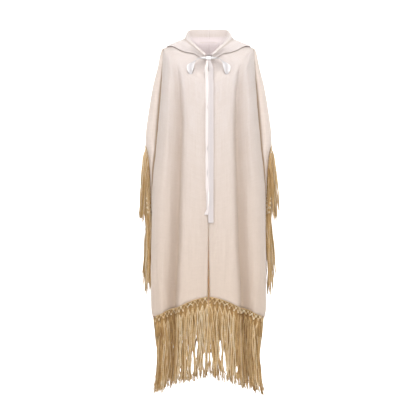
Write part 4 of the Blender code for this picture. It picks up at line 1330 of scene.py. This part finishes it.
class PONCHO_OT_hood(bpy.types.Operator):
    """Make both halves of the lying hood"""
    bl_idname = "poncho.hood"
    bl_label = "Hood"

    def execute(self, context):
        sizes = context.scene.poncho_knit
        for word, side in SIDES:
            points, places = hood_grid(side)
            shares = np.arange(points.shape[1]) * 100.0 / HOOD_COLUMNS
            free = (over(shares, *HOOD_FREE[0]) * over(shares, *HOOD_FREE[1])
                    * over(places, 2.0, 1.9) * over(places, 0.3, 0.6))
            points = drape(points, creased(places * 100.0, shares, HOOD_CREASES), free)
            # Painted shade along the crease under the face roll, the turned-under edge and over the
            # roll
            lines = (0.8 * hump(shares - HOOD_CREASE_SHARE, 2.6)
                     + 0.1 * hump(shares - HOOD_EDGE_SHARE, 2.2)
                     + 0.3 * over(shares, *HOOD_ROLL_SHADE))
            inner_side = over(points[:, :, 2], HOOD_BAND_Z, HOOD_BAND_Z - 2.0)
            inner_side = inner_side * (shares > HOOD_ROLL_SHADE[1])
            # Painted light: the hood's cloth is a lighter copy of the same knit, as it faces up
            piece = sheet_piece("knit_hood_" + word, points, side > 0, sizes.wall,
                                knit_sides(sizes, "plush_knit_hood", sizes.hood),
                                hollow=np.broadcast_to(lines, free.shape),
                                inner_side=inner_side)
            belong(piece, KNIT_SLOT, "hood_" + word)
        return {"FINISHED"}


class PONCHO_OT_bow(bpy.types.Operator):
    """Make the satin bow with its loops, knot and long tails"""
    bl_idname = "poncho.bow"
    bl_label = "Bow"

    def execute(self, context):
        sizes = context.scene.poncho_ribbon
        # Painted light: the bow's satin is a lighter copy of the tails' satin
        bright = finish("white_satin_bow", satin_paint, sizes.bow_painted_light_colour)
        self.knot(bright)
        for word, side in SIDES:
            self.loop(word, side, sizes, bright)
        for tail in TAILS:
            self.tail(tail, sizes, finish("white_satin_ribbon", satin_paint, sizes.colour))
        return {"FINISHED"}

    def knot(self, satin):
        """The wrapped middle: a rounded pad with gathers across its front."""
        deselect()
        bpy.ops.mesh.primitive_cube_add(size=MM, location=[value * MM for value in KNOT_AT])
        knot = bpy.context.object
        knot.name = knot.data.name = "satin_knot"
        knot.scale = KNOT_SIZE
        bpy.ops.object.transform_apply(location=True, rotation=False, scale=True)
        bpy.ops.object.mode_set(mode="EDIT")
        bpy.ops.mesh.select_all(action="SELECT")
        bpy.ops.mesh.bevel(offset=KNOT_ROUND * MM, segments=3)
        bpy.ops.mesh.select_all(action="SELECT")
        bpy.ops.mesh.subdivide(number_cuts=2)
        bpy.ops.object.mode_set(mode="OBJECT")
        for vertex in knot.data.vertices:
            across = (vertex.co.x / MM - KNOT_AT[0]) / KNOT_SIZE[0] * 2.0
            if vertex.co.y / MM < KNOT_AT[1]:
                gathers = across * KNOT_GATHERS + vertex.co.z / MM * 0.25
                vertex.co.y += KNOT_GATHER * MM * math.sin(gathers)
        rounding = knot.modifiers.new("Rounding", "SUBSURF")
        rounding.levels = rounding.render_levels = 2
        bpy.ops.object.modifier_apply(modifier=rounding.name)
        bpy.ops.object.shade_smooth()
        knot.data.uv_layers[0].name = "cloth"
        knot.data.materials.append(satin)
        belong(knot, SATIN_SLOT, "ribbon_knot")

    def loop(self, word, side, sizes, satin):
        """A loop of the bow, cupped across its width."""
        shares = np.linspace(-1.0, 1.0, LOOP_COLUMNS)
        lines = []
        last = len(LOOP_ROWS) - 1
        for share in shares:
            line = []
            for k, loop in enumerate(LOOP_ROWS):
                cup = LOOP_CUP * min(k, last - k) / (last / 2) * (1.0 - abs(share) ** 1.6)
                front = 0.8 if k < LOOP_BEHIND else -0.2
                pleat = BAND_PLEAT * math.cos(BAND_PLEATS * share) * (loop.across < LEAF_ACROSS)
                line.append(Vector((side * (loop.x + loop.across * share),
                                    loop.y + front * cup + pleat, loop.z + loop.upright * share)))
            lines.append(through(line, [5] * last))
        points = grid(lines).transpose(1, 0, 2)
        x, z = points[:, :, 0], points[:, :, 2]
        # Painted shade in the hollow of each leaf and on the band under the hood's edge
        drooped = over(z, *LEAF_TOP) * over(z, *LEAF_FOOT)
        hollow = (drooped * (1.0 - np.abs(shares + 0.1) ** 1.5) * 0.9
                  + BAND_SHADE * over(side * x, *BAND_DARKENS) * (1.0 - drooped))
        piece = sheet_piece("satin_loop_" + word, points, side < 0, sizes.wall, [satin],
                            hollow=np.maximum(hollow, 0.0))
        belong(piece, SATIN_SLOT, "ribbon_loop_" + word)

    def tail(self, tail, sizes, satin):
        """A tail that hangs from the knot, with soft turns along it."""
        edge = sorted((key.z, key.y) for key in (front_keys(k / 4.0)[0] for k in range(65)))
        z = mix(TAIL_TOP, tail.end_z, np.linspace(0.0, 1.0, TAIL_ROWS))[:, None]
        across = np.linspace(-1.0, 1.0, TAIL_COLUMNS)
        left, right = (np.array([[read(TAIL_EDGES[tail.name], name, height)] for height in z[:, 0]])
                       for name in ("left", "right"))
        y = (np.interp(z, *zip(*edge)) - tail.lift
             - mix(TAIL_STANDS_AT_KNOT, 0.0, over(z, TAIL_TOP, TAIL_TOP - TAIL_SETTLES_OVER)))
        gather = mix(TAIL_GATHER, 1.0, over(z, TAIL_TOP, TAIL_TOP - TAIL_GATHER_HEIGHT))
        angle = sum(math.radians(turn.degrees) * hump(z - turn.z, turn.high)
                    for turn in TAIL_TURNS[tail.name])
        reach = (across + 1.0) / 2.0 * RIBBON_WIDTH
        tuck = RIBBON_WIDTH - (right - left)
        off = (left + np.abs(reach - tuck) - (left + right) / 2.0) * gather
        cup = TAIL_CUP * (1.0 - across ** 2) * (0.6 + 0.4 * np.sin(z / TAIL_CUP_WAVE + tail.lift))
        pleat = TAIL_PLEAT * (1.0 - gather) * np.cos(across * TAIL_PLEATS)
        x = (left + right) / 2.0 * gather + off * np.cos(angle)
        y = (y - 0.6 * cup + pleat + np.minimum(off * np.sin(angle), 2.0) * 0.8
             + 1.7 * over(tuck - reach, 0.0, 1.4))
        # Painted shade: dashes where the left tail turns, the right tail greyer, the cupped middle
        # darker
        dashes = sum(dash.deep * hump(z - dash.z, dash.high) for dash in TAIL_DASHES)
        dark = (dashes * hump(x - TAIL_DASH_X, 1.7) if tail.name == "left"
                else np.full(x.shape, TAIL_SHADE)) + 0.2 * (1.0 - across ** 2)
        points = np.stack([x, y, z + TAIL_SKEW * off], axis=2)
        piece = sheet_piece("satin_tail_" + tail.name, points, False, sizes.wall, [satin],
                            hollow=dark)
        belong(piece, SATIN_SLOT, "ribbon_tail_" + tail.name)


class PONCHO_OT_hem_fringe(bpy.types.Operator):
    """Knot the fringe along the hems of front and back"""
    bl_idname = "poncho.hem_fringe"
    bl_label = "Hem fringe"

    def execute(self, context):
        sizes = context.scene.poncho_fringe
        inset = context.scene.poncho_knit.wall / MM / 2.0
        golden = finish("golden_twisted_yarn", yarn_paint, sizes)
        pieces = [station.pieces * 3 for station in FRONT_STATIONS[:-1]]
        # The front's fringe ends a little before the outer roll
        end = sum(pieces[:ROLL_STATION]) - 4
        for seed, (word, side) in enumerate(SIDES):
            row = [Vector((side * point.x, point.y, point.z))
                   for point in through(front_keys(HEM_STEP), pieces)]
            yarn = Yarn(31 + seed)
            hem_fringe(yarn, row[:end], HEM_TIP_CENTRE, HEM_SPLAY_FRONT, 1.0, inset, sizes)
            yarn.piece("yarn_hem_front_" + word, golden, "fringe_hem_front_" + word)
        yarn = Yarn(57)
        hem_fringe(yarn, back_row(HEM_STEP, 42), BACK_TIP_CENTRE, HEM_SPLAY_BACK, 1.005, inset,
                   sizes)
        yarn.piece("yarn_hem_back", golden, "fringe_hem_back")
        return {"FINISHED"}


class PONCHO_OT_side_fringe(bpy.types.Operator):
    """Knot the fringe along the open sides"""
    bl_idname = "poncho.side_fringe"
    bl_label = "Side fringe"

    def execute(self, context):
        sizes = context.scene.poncho_fringe
        inset = context.scene.poncho_knit.wall / MM / 2.0
        golden = finish("golden_twisted_yarn", yarn_paint, sizes)
        for which, edge_rows, leave in (("front_", FRONT_EDGE, 1.0), ("back_", BACK_EDGE, -1.0)):
            for seed, (word, side) in enumerate(SIDES):
                yarn = Yarn(71 + seed + int(leave) * 5)
                side_fringe(yarn, edge_rows, side, leave, inset, sizes)
                yarn.piece("yarn_side_" + which + word, golden, "fringe_side_" + which + word)
        return {"FINISHED"}


def deselect():
    """Leave nothing selected."""
    for item in bpy.context.selected_objects:
        item.select_set(False)


def select_edges(thing, test):
    """Select the edges of which both ends pass a test."""
    for edge in thing.data.edges:
        edge.select = all(test(thing.data.vertices[k].co) for k in edge.vertices)


class PONCHO_OT_stage(bpy.types.Operator):
    """Set the pale floor, the soft lights and the camera"""
    bl_idname = "poncho.stage"
    bl_label = "Stage"

    def execute(self, context):
        sizes = context.scene.poncho_stage
        self.floor(sizes)
        for name, place, aim, size, share in LAMPS:
            power = sizes.backdrop if name == "soft_backdrop" else sizes.key
            data = bpy.data.lights.new(name, "AREA")
            data.size = size
            data.energy = power * share
            lamp = bpy.data.objects.new(name, data)
            context.scene.collection.objects.link(lamp)
            lamp.location = place
            lamp.rotation_euler = (Vector(aim) - Vector(place)).to_track_quat("-Z", "Y").to_euler()
        context.scene.view_settings.view_transform = "Standard"
        world = context.scene.world or bpy.data.worlds.new("studio")
        context.scene.world = world
        world.use_nodes = True
        background = world.node_tree.nodes["Background"]
        background.inputs["Color"].default_value = (1.0, 1.0, 1.0, 1.0)
        background.inputs["Strength"].default_value = sizes.fill
        data = bpy.data.cameras.new("camera")
        data.type = "ORTHO"
        data.ortho_scale = sizes.width
        camera = bpy.data.objects.new("camera", data)
        context.scene.collection.objects.link(camera)
        camera.location = (sizes.aim_x, -sizes.distance, sizes.aim_z)
        camera.rotation_euler = (math.pi / 2.0, 0.0, 0.0)
        context.scene.camera = camera
        return {"FINISHED"}

    def floor(self, sizes):
        """A floor that rises in a wide curve to a wall behind the garment."""
        deselect()
        bpy.ops.mesh.primitive_plane_add(size=60.0, location=(0.0, -20.0, sizes.floor_z))
        floor = bpy.context.object
        floor.name = floor.data.name = "studio_floor"
        bpy.ops.object.transform_apply(location=True, rotation=False, scale=False)
        bpy.ops.object.mode_set(mode="EDIT")
        bpy.ops.mesh.select_all(action="DESELECT")
        bpy.ops.object.mode_set(mode="OBJECT")
        select_edges(floor, lambda end: end.y > 0.0)
        bpy.ops.object.mode_set(mode="EDIT")
        bpy.ops.mesh.select_mode(type="EDGE")
        bpy.ops.mesh.extrude_region_move(TRANSFORM_OT_translate={"value": (0.0, 0.0, 14.0)})
        bpy.ops.object.mode_set(mode="OBJECT")
        select_edges(floor, lambda end: end.y > 0.0 and end.z < sizes.floor_z + 1.0)
        bpy.ops.object.mode_set(mode="EDIT")
        bpy.ops.mesh.bevel(offset=6.0, segments=16, affect="EDGES")
        bpy.ops.object.mode_set(mode="OBJECT")
        bpy.ops.object.shade_smooth()
        floor.data.materials.append(finish("pale_floor", floor_paint, sizes.floor))


STEPS = (PONCHO_OT_fronts, PONCHO_OT_back, PONCHO_OT_hood, PONCHO_OT_bow, PONCHO_OT_hem_fringe,
         PONCHO_OT_side_fringe, PONCHO_OT_stage)
SETTINGS = (
    ("poncho_knit", PonchoKnitSettings),
    ("poncho_ribbon", PonchoRibbonSettings),
    ("poncho_fringe", PonchoFringeSettings),
    ("poncho_stage", PonchoStageSettings),
)


class PONCHO_PT_panel(bpy.types.Panel):
    """Steps and settings of the poncho"""
    bl_idname = "PONCHO_PT_panel"
    bl_label = "Knitted poncho"
    bl_space_type = "VIEW_3D"
    bl_region_type = "UI"
    bl_category = "Poncho"

    def draw(self, context):
        for name, group in SETTINGS:
            box = self.layout.box()
            for key in group.__annotations__:
                box.prop(getattr(context.scene, name), key)
        for step in STEPS:
            self.layout.operator(step.bl_idname)


def register():
    """Make the settings, operators and panel known."""
    for name, group in SETTINGS:
        bpy.utils.register_class(group)
        setattr(bpy.types.Scene, name, bpy.props.PointerProperty(type=group))
    for kind in (*STEPS, PONCHO_PT_panel):
        bpy.utils.register_class(kind)


def unregister():
    """Take the settings, operators and panel away again."""
    for kind in (PONCHO_PT_panel, *STEPS):
        bpy.utils.unregister_class(kind)
    for name, group in SETTINGS:
        delattr(bpy.types.Scene, name)
        bpy.utils.unregister_class(group)


def main():
    """Make every piece and set the stage."""
    register()
    bpy.ops.poncho.fronts()
    bpy.ops.poncho.back()
    bpy.ops.poncho.hood()
    bpy.ops.poncho.bow()
    bpy.ops.poncho.hem_fringe()
    bpy.ops.poncho.side_fringe()
    bpy.ops.poncho.stage()


if __name__ == "__main__":
    main()
